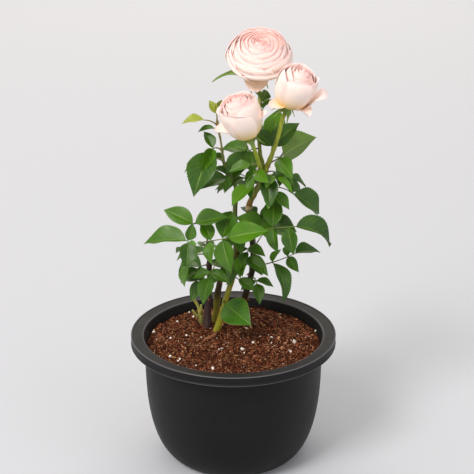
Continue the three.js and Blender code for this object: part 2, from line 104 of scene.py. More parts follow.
def woven(points, index, places=None, marks=None, slot=0):
    """A surface from grids of point numbers, shaped (grids, rows, columns), that faces the way of
    columns x rows. A cell is a quad, or a triangle where one end of it is a single point."""
    place = np.arange(index.size).reshape(index.shape)
    corners = [place[:, :-1, :-1], place[:, :-1, 1:], place[:, 1:, 1:], place[:, 1:, :-1]]
    cells = np.stack(corners, -1).reshape(-1, 4)
    number = index.ravel()[cells]
    start = number[:, 0] == number[:, 1]
    end = number[:, 2] == number[:, 3]
    groups = [cells[~(start | end)], cells[start][:, [0, 2, 3]], cells[end][:, :3]]
    groups = [group for group in groups if len(group)]
    if places is not None:
        places = [places.reshape(-1, 2)[group].reshape(-1, 2) for group in groups]
    faces = [index.ravel()[group] for group in groups]
    slots = [slot] * len(faces)
    return dict(points=points.reshape(-1, 3), faces=faces, places=places, marks=marks or {}, slots=slots)


def build(name, surfaces, materials, replaced, crease=70):
    """One piece from its surfaces: their points and faces, their places in the map, and their marks, which
    are values kept at the points for the material."""
    faces, slots, start = [], [], 0
    for part in surfaces:
        faces += [group + start for group in part["faces"]]
        slots += [np.full(len(group), slot) for group, slot in zip(part["faces"], part["slots"])]
        start += len(part["points"])
    used = np.unique(np.concatenate([group.ravel() for group in faces]))
    number = np.zeros(start, int)
    number[used] = np.arange(len(used))
    points = np.concatenate([part["points"] for part in surfaces])[used]
    mesh = bpy.data.meshes.new(name)
    mesh.from_pydata(points.tolist(), [], [face for group in faces for face in number[group].tolist()])
    mesh.polygons.foreach_set("use_smooth", np.ones(len(mesh.polygons), bool))
    if surfaces[0]["places"] is not None:
        spots = np.concatenate([spot for part in surfaces for spot in part["places"]])
        mesh.uv_layers.new(name=MAP_NAME).data.foreach_set("uv", spots.ravel())
    for mark in surfaces[0]["marks"]:
        values = np.concatenate([part["marks"][mark].reshape(-1, 3) for part in surfaces])[used]
        mesh.attributes.new(mark, "FLOAT_VECTOR", "POINT").data.foreach_set("vector", values.ravel())
    for material in materials:
        mesh.materials.append(material)
    mesh.polygons.foreach_set("material_index", np.concatenate(slots))
    mesh.set_sharp_from_angle(angle=math.radians(crease))
    made = bpy.data.objects.new(name, mesh)
    bpy.context.scene.collection.objects.link(made)
    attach(made, "root")
    if replaced:
        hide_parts(*replaced)


def rounded(corners):
    """A profile through corners [radius, height, fillet]: each corner is a parabola that starts and ends
    its fillet away from the corner, along the two sides."""
    corner = np.array(corners)[:, :2]
    side = np.diff(corner, axis=0)
    side /= np.linalg.norm(side, axis=1, keepdims=True)
    fillet = np.array(corners)[:, 2:]
    start = corner - fillet * np.vstack([side[:1], side])
    end = corner + fillet * np.vstack([side, side[-1:]])
    t = np.linspace(0, 1, 5)[:, None, None]
    curve = (1 - t) ** 2 * start + 2 * t * (1 - t) * corner + t**2 * end
    return curve.transpose(1, 0, 2).reshape(-1, 2)


def rings(shape):
    """Point numbers for grids of closed rings, shaped (grids, rings, sides + 1): a ring's last point is its
    first, and the first and last rings are single points."""
    index = np.arange(math.prod(shape)).reshape(shape)
    index[..., -1] = index[..., 0]
    index[:, [0, -1]] = index[:, [0, -1], :1]
    return index


def turned_body(profile, sides, relief=None):
    """A profile of (radius, height) turned round the Z axis, with its first and last points on the axis.
    relief gives each point's move."""
    angle = np.linspace(0, 2 * np.pi, sides + 1)
    radius, height = profile[:, :1], profile[:, 1:]
    points = stacked(radius * np.cos(angle), radius * np.sin(angle), height)
    if relief is not None:
        points += relief(points)
    along = np.concatenate([[0], np.cumsum(np.linalg.norm(np.diff(profile, axis=0), axis=1))])
    places = stacked(angle / (2 * np.pi), (along / along[-1])[:, None])
    return woven(points, rings((1, len(profile), sides + 1)), places)


def pot_radius(z):
    """The pot's outside radius at height z: a bowl that bulges fast above the base and ends upright. It goes
    from the base's radius to the shoulder's by (1 - (1 - share) ** 3) ** (1 / 1.8)."""
    share = np.clip(z / SHOULDER_HEIGHT, 0, 1)
    return BASE_RADIUS + (SHOULDER_RADIUS - BASE_RADIUS) * (1 - (1 - share) ** 3) ** (1 / 1.8)


# The profile runs from the middle of the underside, with its shallow groove, up the outside, round the rim
# and down the inside to the middle of the floor. The inside starts at the first heights clear of the floor.
wall_heights = SHOULDER_HEIGHT * np.linspace(0.07, 0.985, 34) ** 1.7
outside = stacked(pot_radius(wall_heights), wall_heights)
inside = (outside[8:] - [WALL, 0])[::-1]
underside = rounded([
    [0, 0, 0], [54 * MM, 0, 0], [55.5 * MM, 0.9 * MM, 0.6 * MM], [60 * MM, 0.9 * MM, 0.6 * MM],
    [61.5 * MM, 0, 0.4 * MM], [66.5 * MM, 0, 1.4 * MM], [outside[0, 0], outside[0, 1], 0],
])
rim = rounded([
    [SHOULDER_RADIUS, SHOULDER_HEIGHT, 0], [SHOULDER_RADIUS + 0.6 * MM, 141.5 * MM, 0.8 * MM],
    [RIM_RADIUS - 3.2 * MM, 141.5 * MM, 0.8 * MM], [RIM_RADIUS - 3.2 * MM, SKIRT_BOTTOM, 0.7 * MM],
    [RIM_RADIUS - 1.2 * MM, SKIRT_BOTTOM, 0.5 * MM], [RIM_RADIUS, SKIRT_BOTTOM + 0.7 * MM, 0.6 * MM],
    [RIM_RADIUS - 1 * MM, SKIRT_BOTTOM + 2.4 * MM, 0.8 * MM],
    [RIM_RADIUS - 0.3 * MM, POT_HEIGHT, 1.1 * MM], [RIM_RADIUS - 2.4 * MM, POT_HEIGHT, 0.6 * MM],
    [RIM_RADIUS - 3.4 * MM, POT_HEIGHT - 0.9 * MM, 0.6 * MM],
    [RIM_INNER + 1 * MM, POT_HEIGHT - 1.2 * MM, 1.8 * MM],
    [SHOULDER_RADIUS - WALL, SHOULDER_HEIGHT + 3 * MM, 2 * MM],
])
well = np.array([[BASE_RADIUS - 2 * MM, FLOOR], [0, FLOOR]])

# Moulded polypropylene: charcoal, matt, with the faint orange-peel grain of a spark-eroded mould and a
# few paler scuffs. Its edges are painted paler, a painted highlight that draws thin light lines, and are
# smoother. The grain is about 0.5 mm, drawn at 1.1 mm so that it shows. A Mix of colours reads sockets 0, 6
# and 7.
COLOURS = dict(out=2, data_type="RGBA")
plastic, tree, shader = finish("moulded_black_polypropylene", IOR=1.49, Specular_IOR_Level=0.24)
edge_highlight_and_polish = add(tree, "Attribute", {}, "Fac", attribute_name="edge")
coords = add(tree, "TexCoord", {}, "Object")
grain = add(tree, "TexNoise", {"Vector": coords, "Scale": 900.0, "Detail": 2.0})
scuffs = add(tree, "TexNoise", {"Vector": coords, "Scale": 22.0, "Detail": 6.0, "Roughness": 0.65})
patch = add(tree, "MapRange", {0: scuffs, 1: 0.42, 2: 0.75})
charcoal = add(tree, "Mix", {0: patch, 6: linear("#0B0A0A"), 7: linear("#141213")}, **COLOURS)
sheen = add(tree, "MapRange", {0: scuffs, 1: 0.3, 2: 0.7, 3: 0.46, 4: 0.6})
fill(shader, {
    # Edges are painted pale grey: a painted highlight for the thin light lines that they catch
    "Base Color": add(tree, "Mix", {0: edge_highlight_and_polish, 6: charcoal, 7: linear("#5C5B5F")}, **COLOURS),
    "Roughness": add(tree, "Math", {0: edge_highlight_and_polish, 1: -0.14, 2: sheen}, operation="MULTIPLY_ADD"),
    "Normal": add(tree, "Bump", {"Height": grain, "Strength": 0.25, "Distance": 0.0004}),
})

pot_profile = np.vstack([underside, outside[1:], rim, inside, well])
pot = turned_body(pot_profile, POT_SIDES)
# An edge is where the profile turns by more than 8 degrees from one point to the next. The material paints a
# highlight and sets a smoother finish there
headings = np.unwrap(np.arctan2(*np.diff(pot_profile, axis=0).T[::-1]))
bend = np.degrees(np.abs(np.diff(headings, prepend=headings[0], append=headings[-1])))
edge = np.clip((bend - 8) / 20, 0, 1)
pot["marks"] = {"edge": np.repeat(edge, POT_SIDES + 1)[:, None].repeat(3, 1)}
build("nursery_pot", [pot], [plastic], ["pot"], crease=60)

# Potting mix
# A levelled bed of damp coir and peat, with loose crumbs, short fibres and white grains of perlite on it.
# The larger perlite grains lie where the photograph shows them: x, y and width in mm.
SOIL_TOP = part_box("soil")[1].z
SOIL_REACH = SHOULDER_RADIUS - WALL - 0.3 * MM
CRUMBS = 8600
FINES = 9000
FIBRES = 420
SMALL_PERLITE = 70
BED_RINGS = 96
BED_SIDES = 260
PERLITE = [
    [15, 29, 2.2], [43, 4, 2.6], [43, -11, 2.8], [68, -9, 4.6], [63, -33, 3.4], [94, 24, 2.8], [22, -9, 2.6],
    [10, -28, 3.6], [12, -36, 2.8], [-13, -27, 3.2], [30, 7, 2], [56, 72, 2.2], [57, 28, 2.2], [-22, -73, 3],
    [46, -18, 2], [-91, 22, 3], [-65, 50, 3], [-47, 61, 2.6], [-52, 77, 2.6], [-53, 6, 3], [-71, 5, 2.4],
    [-69, -43, 3.4], [-58, -49, 3], [-60, -56, 3], [-40, -66, 2.4], [-16, -26, 2.2],
]
THREAD = 0.15 * MM
rng = np.random.default_rng(7)


def waves(points, length, seed, count=24):
    """Smooth unevenness of about unit size: the sum of count sine waves of random heading and phase, with
    lengths from 0.6 to 1.7 times the one given."""
    own = np.random.default_rng(seed)
    heading = own.normal(size=(points.shape[-1], count))
    heading /= np.linalg.norm(heading, axis=0) * length * own.uniform(0.6, 1.7, count)
    return np.sin(2 * np.pi * (points @ heading + own.uniform(0, 1, count))).sum(-1) / math.sqrt(count / 2)


def soil_height(x, y):
    """The bed's height: level, sinking 2 mm towards the wall, with slow swells and finer lumps."""
    sunk = 2.2 * MM * np.clip((np.hypot(x, y) - 60 * MM) / (SOIL_REACH - 60 * MM), 0, 1) ** 2
    spot = stacked(x, y)
    return SOIL_TOP - sunk + 0.5 * MM * waves(spot, 34 * MM, 1) + 0.45 * MM * waves(spot, 5 * MM, 2)


def lumpy(points):
    """Moves the bed's top to its uneven height. The side of the bed, which starts lower down, stays."""
    shift = np.zeros_like(points)
    top = points[..., 2] > SOIL_TOP - 4 * MM
    shift[..., 2] = np.where(top, soil_height(points[..., 0], points[..., 1]) - points[..., 2], 0)
    return shift


bed_side = np.linspace(0.03, 0.97, 8) * (SOIL_TOP - 12 * MM)
bed_side = stacked(np.minimum(pot_radius(bed_side) - WALL, SOIL_REACH) - 0.3 * MM, bed_side)
bed_top = stacked(SOIL_REACH * np.linspace(1, 0, BED_RINGS) ** 0.8, SOIL_TOP)
bed = turned_body(np.vstack([[[0, FLOOR + 0.4 * MM]], bed_side, bed_top]), BED_SIDES, lumpy)


def strewn(shape, faces, size, place, seed, slot=0):
    """Copies of a small closed shape: each is stretched by up to a third each way, dented at its corners,
    turned at random and set at its place."""
    own = np.random.default_rng(seed)
    count = len(place)
    dented = shape * (1 + own.uniform(-0.28, 0.28, (count, len(shape), 1)))
    dented = dented * own.uniform(0.66, 1.33, (count, 1, 3)) * size[:, None, None] / 2
    turn = np.linalg.qr(own.normal(size=(count, 3, 3)))[0]
    turn *= np.sign(np.linalg.det(turn))[:, None, None]
    points = dented @ turn + place[:, None]
    faces = (faces + len(shape) * np.arange(count)[:, None, None]).reshape(-1, 3)
    return dict(points=points.reshape(-1, 3), faces=[faces], places=None, marks={}, slots=[slot])


# A crumb starts from the twenty-faced solid, whose corners are (0, ±1, ±golden) in turn
golden = (1 + math.sqrt(5)) / 2
crumb = np.array([[0, a, b * golden] for a in (-1, 1) for b in (-1, 1)]) / math.sqrt(1 + golden**2)
crumb = np.concatenate([crumb, crumb[:, [2, 0, 1]], crumb[:, [1, 2, 0]]])
near = np.linalg.norm(crumb[:, None] - crumb, axis=-1) < 1.2
trios = itertools.combinations(range(len(crumb)), 3)
sets = np.array([trio for trio in trios if near[np.ix_(trio, trio)].all()])
first, second, third = (crumb[sets[:, k]] for k in range(3))
outward = (np.cross(second - first, third - first) * first).sum(-1) > 0
crumb_faces = np.where(outward[:, None], sets, sets[:, [0, 2, 1]])
# A fine crumb is the eight-faced solid
fine_crumb = np.vstack([np.eye(3), -np.eye(3)]) * 1.1
fine_faces = np.array([
    [0, 1, 2], [1, 3, 2], [3, 4, 2], [4, 0, 2], [1, 0, 5], [3, 1, 5], [4, 3, 5], [0, 4, 5],
])


def scattered(count, size, lift):
    """Places on the bed, even over its area and inside the wall, with centres lifted by a share of size."""
    radius = (SOIL_REACH - 0.6 * size) * np.sqrt(rng.uniform(0, 1, count))
    angle = rng.uniform(0, 2 * np.pi, count)
    x, y = radius * np.cos(angle), radius * np.sin(angle)
    return stacked(x, y, soil_height(x, y) + lift * size)


def loose(shape, faces, size, lift, shares, seed):
    """Crumbs over the bed in three kinds, by their shares: a surface of each, in slots 0, 1 and 2."""
    place = scattered(len(size), size, lift)
    kind = rng.choice(3, len(size), p=shares)
    return [strewn(shape, faces, size[kind == k], place[kind == k], seed + k, k) for k in range(3)]


crumb_size = np.clip(rng.lognormal(math.log(1.4), 0.38, CRUMBS), 0.7, 4) * MM
crumb_lift = rng.uniform(-0.1, 0.4, CRUMBS)
crumbs = loose(crumb, crumb_faces, crumb_size, crumb_lift, [0.42, 0.5, 0.08], 20)
fine_size = rng.uniform(0.6, 1.2, FINES) * MM
fine_lift = rng.uniform(0, 0.6, FINES)
fines = loose(fine_crumb, fine_faces, fine_size, fine_lift, [0.4, 0.47, 0.13], 24)


def threads(count, seed):
    """Coir fibres that lie on the crumbs: three-sided tubes 0.3 mm thick along arcs of 5 to 12 mm. A point is
    the arc's, plus the radius times (side cos a + up sin a), with the radius nothing at both ends."""
    own = np.random.default_rng(seed)
    length = own.uniform(5, 12, count) * MM
    place = scattered(count, 2 * length, 0)
    t = np.linspace(0, 1, 7)
    heading = own.uniform(0, 2 * np.pi, count)[:, None] + own.normal(0, 1.2, count)[:, None] * t
    along = stacked(np.cos(heading), np.sin(heading))
    line = place[:, None, :2] + np.cumsum(along, 1) * length[:, None, None] / len(t)
    height = soil_height(line[..., 0], line[..., 1]) + own.uniform(0.6, 1.3, (count, 1)) * MM
    height = height + 0.8 * MM * np.sin(np.pi * t * own.uniform(0.5, 2, (count, 1)))
    angle = np.linspace(0, 2 * np.pi, 4)
    radius = THREAD * np.array([0, 0.8, 1, 1, 1, 0.8, 0])[:, None]
    out = radius * np.cos(angle)
    x = line[..., :1] + along[..., 1:] * out
    y = line[..., 1:] - along[..., :1] * out
    points = stacked(x, y, height[..., None] + radius * np.sin(angle))
    return woven(points, rings(points.shape[:3]), slot=2)


x, y, large = np.array(PERLITE).T * MM
small = rng.uniform(0.7, 1.5, SMALL_PERLITE) * MM
places = np.vstack([stacked(x, y, soil_height(x, y) + 0.4 * large), scattered(SMALL_PERLITE, small, 0.55)])
perlite = strewn(crumb, crumb_faces, np.r_[large, small], places, 31)


def grain_of(name, dark, light, size, roughness, bump):
    """A crumb's finish: two shades mixed by noise of the grain's size, with its relief."""
    made, tree, shader = finish(name, Roughness=roughness, Specular_IOR_Level=0.1)
    coords = add(tree, "TexCoord", {}, "Object")
    speck = add(tree, "TexNoise", {"Vector": coords, "Scale": 1 / size, "Detail": 3.0})
    share = add(tree, "MapRange", {0: speck, 1: 0.35, 2: 0.68})
    fill(shader, {
        "Base Color": add(tree, "Mix", {0: share, 6: linear(dark), 7: linear(light)}, **COLOURS),
        "Normal": add(tree, "Bump", {"Height": speck, "Strength": bump, "Distance": size / 3}),
    })
    return made


# Coir and peat are dull and damp: three shades of the same red-brown, with specks of about 1 mm.
# Perlite is popped glass, chalk-white and matt, with pores of half a millimetre.
peat = grain_of("damp_peat", "#200C06", "#4C2616", 1.2 * MM, 0.8, 0.5)
coir = grain_of("coir_pith", "#5F2E1A", "#90563A", 1.1 * MM, 0.75, 0.5)
# The pale tan crumbs are partly real husk and partly painted highlights, where crumbs catch the light
husk_and_glints = grain_of("coir_husk_and_painted_glints", "#93643F", "#C79A72", 1.2 * MM, 0.7, 0.4)
popped = grain_of("popped_perlite", "#D9D2C6", "#FBF8F1", 0.6 * MM, 0.9, 0.5)

build("potting_mix", [bed], [peat], ["soil"], crease=60)
build("potting_crumbs", crumbs, [peat, coir, husk_and_glints], (), crease=35)
build("potting_fines", fines + [threads(FIBRES, 37)], [peat, coir, husk_and_glints], (), crease=35)
build("perlite_grains", [perlite], [popped], (), crease=40)

# Canes
# Rose wood: two living canes, the taller one forked under its blooms, and two old dark ones that were cut
# down. Their feet run into the mix. Living bark is smooth and waxy, with fine streaks and prickles, and
# swells where a leaf leaves it. A station: x, y, height and radius in mm, which is drawn a little slimmer.
FOOT = SOIL_TOP / MM + 0.3
HIP_LENGTH = 9
CANE_SIDES = 32
CANE_STEPS = 14
SLIMMER = 0.93
FORK_KNOT = 287
CANES = dict(
    cane_front=[
        [-19, 24, FOOT, 4.3], [-13, 23, 157, 3.6], [-7, 22, 180, 3.5], [0, 20, 207, 3.3], [3, 17, 245, 3],
        [2, 13, 282, 2.7], [3, 8, 309, 2.4], [-3, 6, 328, 1.8], [-10, 6, 341, 1.5], [-12, 8, 356, 1.3],
        [-15, 11, 373, 1.2], [-17, 12, 385, 1],
    ],
    cane_back=[
        [3, 41, FOOT, 5], [9, 39, 155, 4.2], [15, 36, 179, 4], [22, 33, 211, 3.7], [21, 26, 250, 3.4],
        [17, 15, 286, 3.5], [23, 10, 304, 2.9], [31, 6, 323, 2.9], [41, 3, 350, 2.5], [48, -2, 374, 2.4],
    ],
    neck_left=[[31, 6, 323, 2.4], [28, -2, 340, 2.3]],
    neck_top=[[34, 7, 330, 2.2], [29, 18, 347, 2.2], [28, 28, 372, 2.2], [29, 39, 402, 2.3]],
    cane_old_left=[
        [-30, 34, FOOT, 5], [-29, 33, 160, 4.3], [-27, 30, 190, 3.7], [-27, 24, 220, 2.7], [-28, 17, 245, 2],
    ],
    cane_old_back=[[-21, 51, FOOT, 4.6], [-18, 47, 171, 3.9], [-12, 41, 203, 3.2], [-4, 34, 230, 2.3]],
)
# Leaves: cane, height on it, heading, rise, then what differs from a plain leaf of three leaflets
LEAVES = dict(
    leaf_left_arching=["cane_old_left", 245, -116, 70, dict(
        sag=100, swing=23, stalk=60, gap=38, pairs=2, end=0.06, blade=44, spread=70,
        R1=dict(size=1.15, spread=24, droop=-35, roll=-55), L1=dict(size=1.2, spread=42, droop=-26, roll=40),
        R2=dict(size=1.36, spread=32, droop=4, roll=5), T=dict(droop=20, roll=-20, size=0.62, wide=1.3),
        L2=dict(size=0.5, spread=90, droop=-80, roll=40, wide=1.1))],
    leaf_front_centre=["cane_old_left", 238, -122, 34, dict(
        sag=20, swing=114, stalk=48, gap=15, pairs=2, blade=46, roll=48, spread=80,
        R1=dict(size=0.8), L1=dict(size=0.75, spread=30, droop=-50, roll=40, wide=1.15), T=dict(droop=-8),
        L2=dict(size=0.95, roll=20, wide=1.2, fold=14), R2=dict(size=0.95))],
    leaf_right_upper=["cane_back", 243, -82, 44, dict(
        sag=40, swing=78, stalk=44, gap=17, pairs=2, blade=50, roll=52, spread=80,
        L1=dict(size=1.08, spread=16, droop=-12, roll=30), R1=dict(size=0.75), L2=None, R2=dict(size=0.7),
        T=dict(size=1.22, spread=10, droop=46, curl=38, roll=-30))],
    leaf_right_lower=["cane_back", 211, -72, 22, dict(
        sag=-6, swing=76, stalk=34, gap=20, pairs=2, blade=36, roll=40, spread=75,
        R1=dict(size=1.9, droop=40, spread=4, curl=44, roll=-75, wide=0.75), L1=dict(size=0.8),
        R2=dict(size=0.7), L2=dict(size=0.6), T=dict(droop=50, roll=-20))],
    leaf_left_low=["cane_old_back", 222, -108, 26, dict(
        sag=60, stalk=54, gap=14, blade=28, spread=75, T=dict(size=1.2))],
    leaf_front_low=["cane_front", 174, -120, 4, dict(
        sag=14, swing=68, stalk=5, gap=5, pairs=0, blade=46, roll=38, curl=14,
        T=dict(wide=1.3, fold=-12))],
    leaf_centre_back=["cane_back", 266, 80, 20, dict(
        sag=24, swing=-50, stalk=10, gap=14, blade=38, roll=20, spread=70)],
    leaf_right_drooping=["cane_back", 308, 0, 22, dict(
        sag=66, swing=18, stalk=32, gap=14, blade=54, roll=48,
        R1=None, L1=dict(size=0.6), T=dict(spread=-14))],
    leaf_shoot_low=["cane_front", 326, -135, 20, dict(
        sag=24, stalk=2, gap=8, blade=38, roll=-30,
        L1=dict(size=0.6, droop=40), R1=dict(size=0.7))],
    leaf_shoot_large=["cane_front", 354, -165, 34, dict(
        sag=70, swing=50, stalk=9, gap=12, blade=56, roll=-10,
        L1=dict(size=0.72, spread=-40, droop=10, roll=-20, fold=24),
        R1=dict(size=0.5, droop=-50, spread=50))],
    leaf_young_side=["cane_front", 380, -170, 40, dict(
        sag=38, stalk=9, gap=10, pairs=0, blade=25, roll=-20)],
    leaf_young_tip=["cane_front", 385, 100, 76, dict(stalk=7, gap=6, blade=20, spread=25, T=None)],
    leaf_shoot_small=["cane_front", 377, 180, 5, dict(sag=10, stalk=1, gap=3, pairs=0, blade=19, roll=-20)],
    leaf_under_bloom=["neck_top", 341, 150, 30, dict(
        sag=24, stalk=6, gap=14, blade=38, roll=-30, R1=None, L1=dict(size=0.7))],
    leaf_neck_left=["neck_left", 341, -170, 10, dict(sag=20, stalk=2, gap=8, pairs=0, blade=26, roll=-30)],
    leaf_right_behind=["cane_back", 346, 75, 55, dict(
        stalk=8, gap=12, blade=42, spread=50,
        R1=dict(droop=-24, size=1.1, spread=-5), L1=dict(size=0.8, droop=-20))],
    leaf_right_raised=["cane_back", 340, 10, 25, dict(
        swing=15, stalk=8, gap=12, blade=50, roll=-10, spread=70,
        R1=dict(spread=26, droop=30, size=0.8), L1=dict(size=0.5),
        T=dict(spread=-18, roll=-74, wide=1.25))],
    leaf_right_small=["cane_back", 326, 10, 5, dict(
        sag=30, swing=15, stalk=22, gap=10, blade=28, roll=20)],
    leaf_fork_hanging=["cane_back", 331, -70, 4, dict(sag=50, swing=-14, stalk=3, gap=8, pairs=0, blade=36)],
    leaf_between_blooms=["neck_top", 388, -40, 50, dict(stalk=1, gap=5, pairs=0, blade=20)],
    leaf_inner_front=["cane_front", 230, -38, 12, dict(
        sag=30, stalk=6, gap=12, blade=34, roll=24, spread=62, L1=None)],
    leaf_inner_low=["cane_front", 206, -70, -6, dict(
        sag=20, swing=50, stalk=4, gap=6, pairs=0, blade=24, roll=40)],
    leaf_inner_right=["cane_back", 232, -92, -6, dict(
        sag=20, swing=20, stalk=8, gap=8, blade=26, roll=30, R1=None, L1=None)],
    leaf_inner_left=["cane_old_left", 216, -150, 6, dict(sag=30, stalk=8, gap=9, blade=26, roll=-20)],
    leaf_mid_left=["cane_back", 320, -132, 2, dict(sag=20, stalk=10, gap=8, pairs=0, blade=34, roll=-10)],
    leaf_mid_right=["cane_back", 312, -25, 6, dict(sag=40, stalk=10, gap=9, blade=27, roll=25, L1=None)],
    leaf_rear_low=["cane_old_back", 212, 120, 24, dict(
        sag=40, swing=20, stalk=28, gap=16, pairs=2, blade=38, spread=70)],
    leaf_rear_right=["cane_back", 232, 60, 30, dict(
        sag=50, swing=20, stalk=30, gap=16, pairs=2, blade=40, spread=70)],
    leaf_rear_centre=["cane_back", 302, 110, 20, dict(
        sag=40, swing=-20, stalk=24, gap=16, pairs=2, blade=42, spread=70)],
    leaf_rear_top=["neck_top", 362, 60, 35, dict(sag=60, swing=20, stalk=18, gap=14, blade=44, spread=70)],
    leaf_rear_left=["cane_front", 342, 130, 10, dict(sag=40, stalk=24, gap=14, blade=38, spread=70)],
)
# The bark's colour by height in mm
BARK = dict(
    cane_front=[
        [130, "#8B8A24"], [150, "#A3A22C"], [200, "#96962A"], [212, "#6F6420"], [240, "#66621F"],
        [262, "#5E6A22"], [330, "#57692A"], [385, "#7A6A2C"],
    ],
    # cane_back's dark stops up to 283 mm are painted shade: the shade deep inside the bush, drawn into its
    # bark
    cane_back=[
        [130, "#221C14"], [180, "#2A2717"], [250, "#33341B"], [283, "#3A3A1E"], [285.5, "#C6B48C"],
        [288.5, "#C9B78F"], [290, "#8A5F22"], [300, "#7E6A26"], [314, "#86902A"], [372, "#9AA82C"],
    ],
    neck_left=[[323, "#86902A"], [365, "#9CAA2C"]],
    neck_top=[[330, "#808A28"], [400, "#96A42E"]],
    cane_old_left=[[130, "#3A2A2C"], [190, "#3C2A30"], [245, "#4A343A"]],
    cane_old_back=[[130, "#8C8626"], [158, "#847E24"], [172, "#4C4420"], [230, "#33291C"]],
)
# Where a bloom's petals start, which way it faces, and its hip's radius in mm
BLOOMS = dict(
    top=dict(base=[28, 43, 430], axis=[0, -0.42, 0.91], hip=5),
    left=dict(base=[17, -15, 375], axis=[-16, -12, 46], hip=4.6),
    right=dict(base=[57, -9, 406], axis=[15, -14, 42], hip=4.8),
)


def unit(v):
    """v at length one."""
    return v / np.linalg.norm(v, axis=-1, keepdims=True)


def smoothed(stations, steps):
    """A smooth line through stations, in equal steps. Between b and c it is the cubic curve that heads by
    (c - a) / 2 at b and by (d - b) / 2 at c, and its radius goes in a straight line."""
    stops = np.array(stations, float)
    padded = np.vstack([stops[:1], stops, stops[-1:]])
    a, b, c, d = (padded[k : len(stops) - 1 + k, None] for k in range(4))
    t = (np.arange(steps) / steps)[:, None]
    line = 0.5 * (2 * b + (c - a) * t + (2 * a - 5 * b + 4 * c - d) * t**2 + (3 * b - a - 3 * c + d) * t**3)
    line[..., 3:] = b[..., 3:] + (c - b)[..., 3:] * t
    return np.vstack([line.reshape(-1, stops.shape[1]), stops[-1:]])


def bloom_frame(bloom):
    """A bloom's base in metres, and three unit directions as rows: right, back and up along its axis."""
    up = unit(np.array(bloom["axis"], float))
    right = unit(np.array([1.0, 0, 0]) - up[0] * up)
    return np.array(bloom["base"]) * MM, np.array([right, np.cross(up, right), up])


def tube(line, radius, sides, relief=None, band=(0, 1)):
    """A closed tube of round section along a line, with rounded ends. A ring is the line's point plus the
    radius times (side cos a + other sin a), where side is one fixed axis made square to the line. relief
    gives each point's move outwards, and band (k, n) its place in the map: strip k of n."""
    axis = np.eye(3)[np.argmin(np.abs(unit(np.gradient(line, axis=0))).max(0))]
    tip, tail = unit(line[-1] - line[-2]) * radius[-1], unit(line[0] - line[1]) * radius[0]
    foot, head = line[0] + np.outer([0.5, 0.4], tail), line[-1] + np.outer([0.45, 0.62], tip)
    line = np.vstack([foot, line, head])
    radius = np.r_[0, radius[0] * 0.7, radius, radius[-1] * 0.68, 0]
    along = unit(np.gradient(line, axis=0))
    side = unit(axis - (along @ axis)[:, None] * along)
    angle = np.linspace(0, 2 * np.pi, sides + 1)[:, None]
    out = side[:, None] * np.cos(angle) + np.cross(along, side)[:, None] * np.sin(angle)
    points = line[:, None] + radius[:, None, None] * out
    if relief is not None:
        points += out * relief(points)[..., None] * (radius > 0)[:, None, None]
    across = (band[0] + 0.04 + 0.92 * angle[:, 0] / (2 * np.pi)) / band[1]
    places = stacked(across, np.linspace(0.01, 0.99, len(line))[:, None])
    return woven(points, rings((1, len(line), sides + 1)), places)


def shade(stops, height):
    """The linear colour at each height, blended between stops of [height, hex colour]."""
    marks = [stop[0] * MM for stop in stops]
    colours = np.array([linear(stop[1])[:3] for stop in stops])
    return np.stack([np.interp(height, marks, colours[:, k]) for k in range(3)], -1)


# The bloom that a cane ends under. Its last two stations run up the bloom's axis into the hip.
CARRIES = dict(cane_back="right", neck_left="left", neck_top="top")
UNDER_HIP = [[-HIP_LENGTH - 9, 2.3], [-HIP_LENGTH - 0.9, 2.6]]
cane_rows = dict(CANES)
for name, bloom_name in CARRIES.items():
    base, axes = bloom_frame(BLOOMS[bloom_name])
    under = [[*(base / MM + axes[2] * height), radius] for height, radius in UNDER_HIP]
    cane_rows[name] = CANES[name] + under


def cane(name, band):
    """A cane's tube. Its foot is carried 7 mm into the mix and flares; a cut end is left blunt; the bark
    swells where leaves leave it, and is uneven by a tenth of a millimetre."""
    stations = cane_rows[name]
    if stations[0][2] == FOOT:
        foot = stations[0]
        lean = [(foot[k] - stations[1][k]) * 0.25 for k in (0, 1)]
        stations = [[foot[0] + lean[0], foot[1] + lean[1], FOOT - 7, foot[3] * 1.3]] + stations
    rows = smoothed(stations, CANE_STEPS) * MM
    radius = rows[:, 3] * SLIMMER
    if name == "cane_back":
        radius = radius + 0.7 * MM * np.exp(-(((rows[:, 2] - FORK_KNOT * MM) / (5 * MM)) ** 2))
    if name.startswith("neck"):
        radius = radius + 1.2 * MM * np.exp(-np.arange(len(rows)) / 5)
    nodes = [leaf[1] * MM for leaf in LEAVES.values() if leaf[0] == name]

    def relief(points):
        """Swellings 0.5 mm high at the leaves' heights, and waves along and round the bark."""
        swell = sum(0.5 * MM * np.exp(-(((points[..., 2] - height) / (2.6 * MM)) ** 2)) for height in nodes)
        rough = 0.22 if name.startswith("cane_old") else 0.07
        stretched = points * [1, 1, 0.3]
        return swell + rough * MM * (waves(points, 14 * MM, 3) + 0.8 * waves(stretched, 3 * MM, 4))

    made = tube(rows[:, :3], radius, CANE_SIDES, relief, band)
    made["marks"] = {"bark": shade(BARK[name], made["points"][:, 2])}
    return made


def compass(heading, rise):
    """A direction from its heading and rise in degrees: heading 0 is +X, and 90 is +Y."""
    h, r = np.radians(heading), np.radians(rise)
    return stacked(np.cos(h) * np.cos(r), np.sin(h) * np.cos(r), np.sin(r))


# A cane's prickles: their height in mm and heading in degrees. Each is a hook with a broad foot.
PRICKLES = dict(
    cane_front=[[166, -60], [193, 170], [221, -100], [262, 30], [291, -150]],
    cane_back=[[168, -30], [199, 190], [224, -40], [259, -120], [276, 20], [337, -60]],
    neck_top=[[358, -80]],
    cane_old_left=[[172, -90], [206, 20], [232, -60]],
    cane_old_back=[[187, -60]],
)
PRICKLE_LENGTH = 3.4 * MM


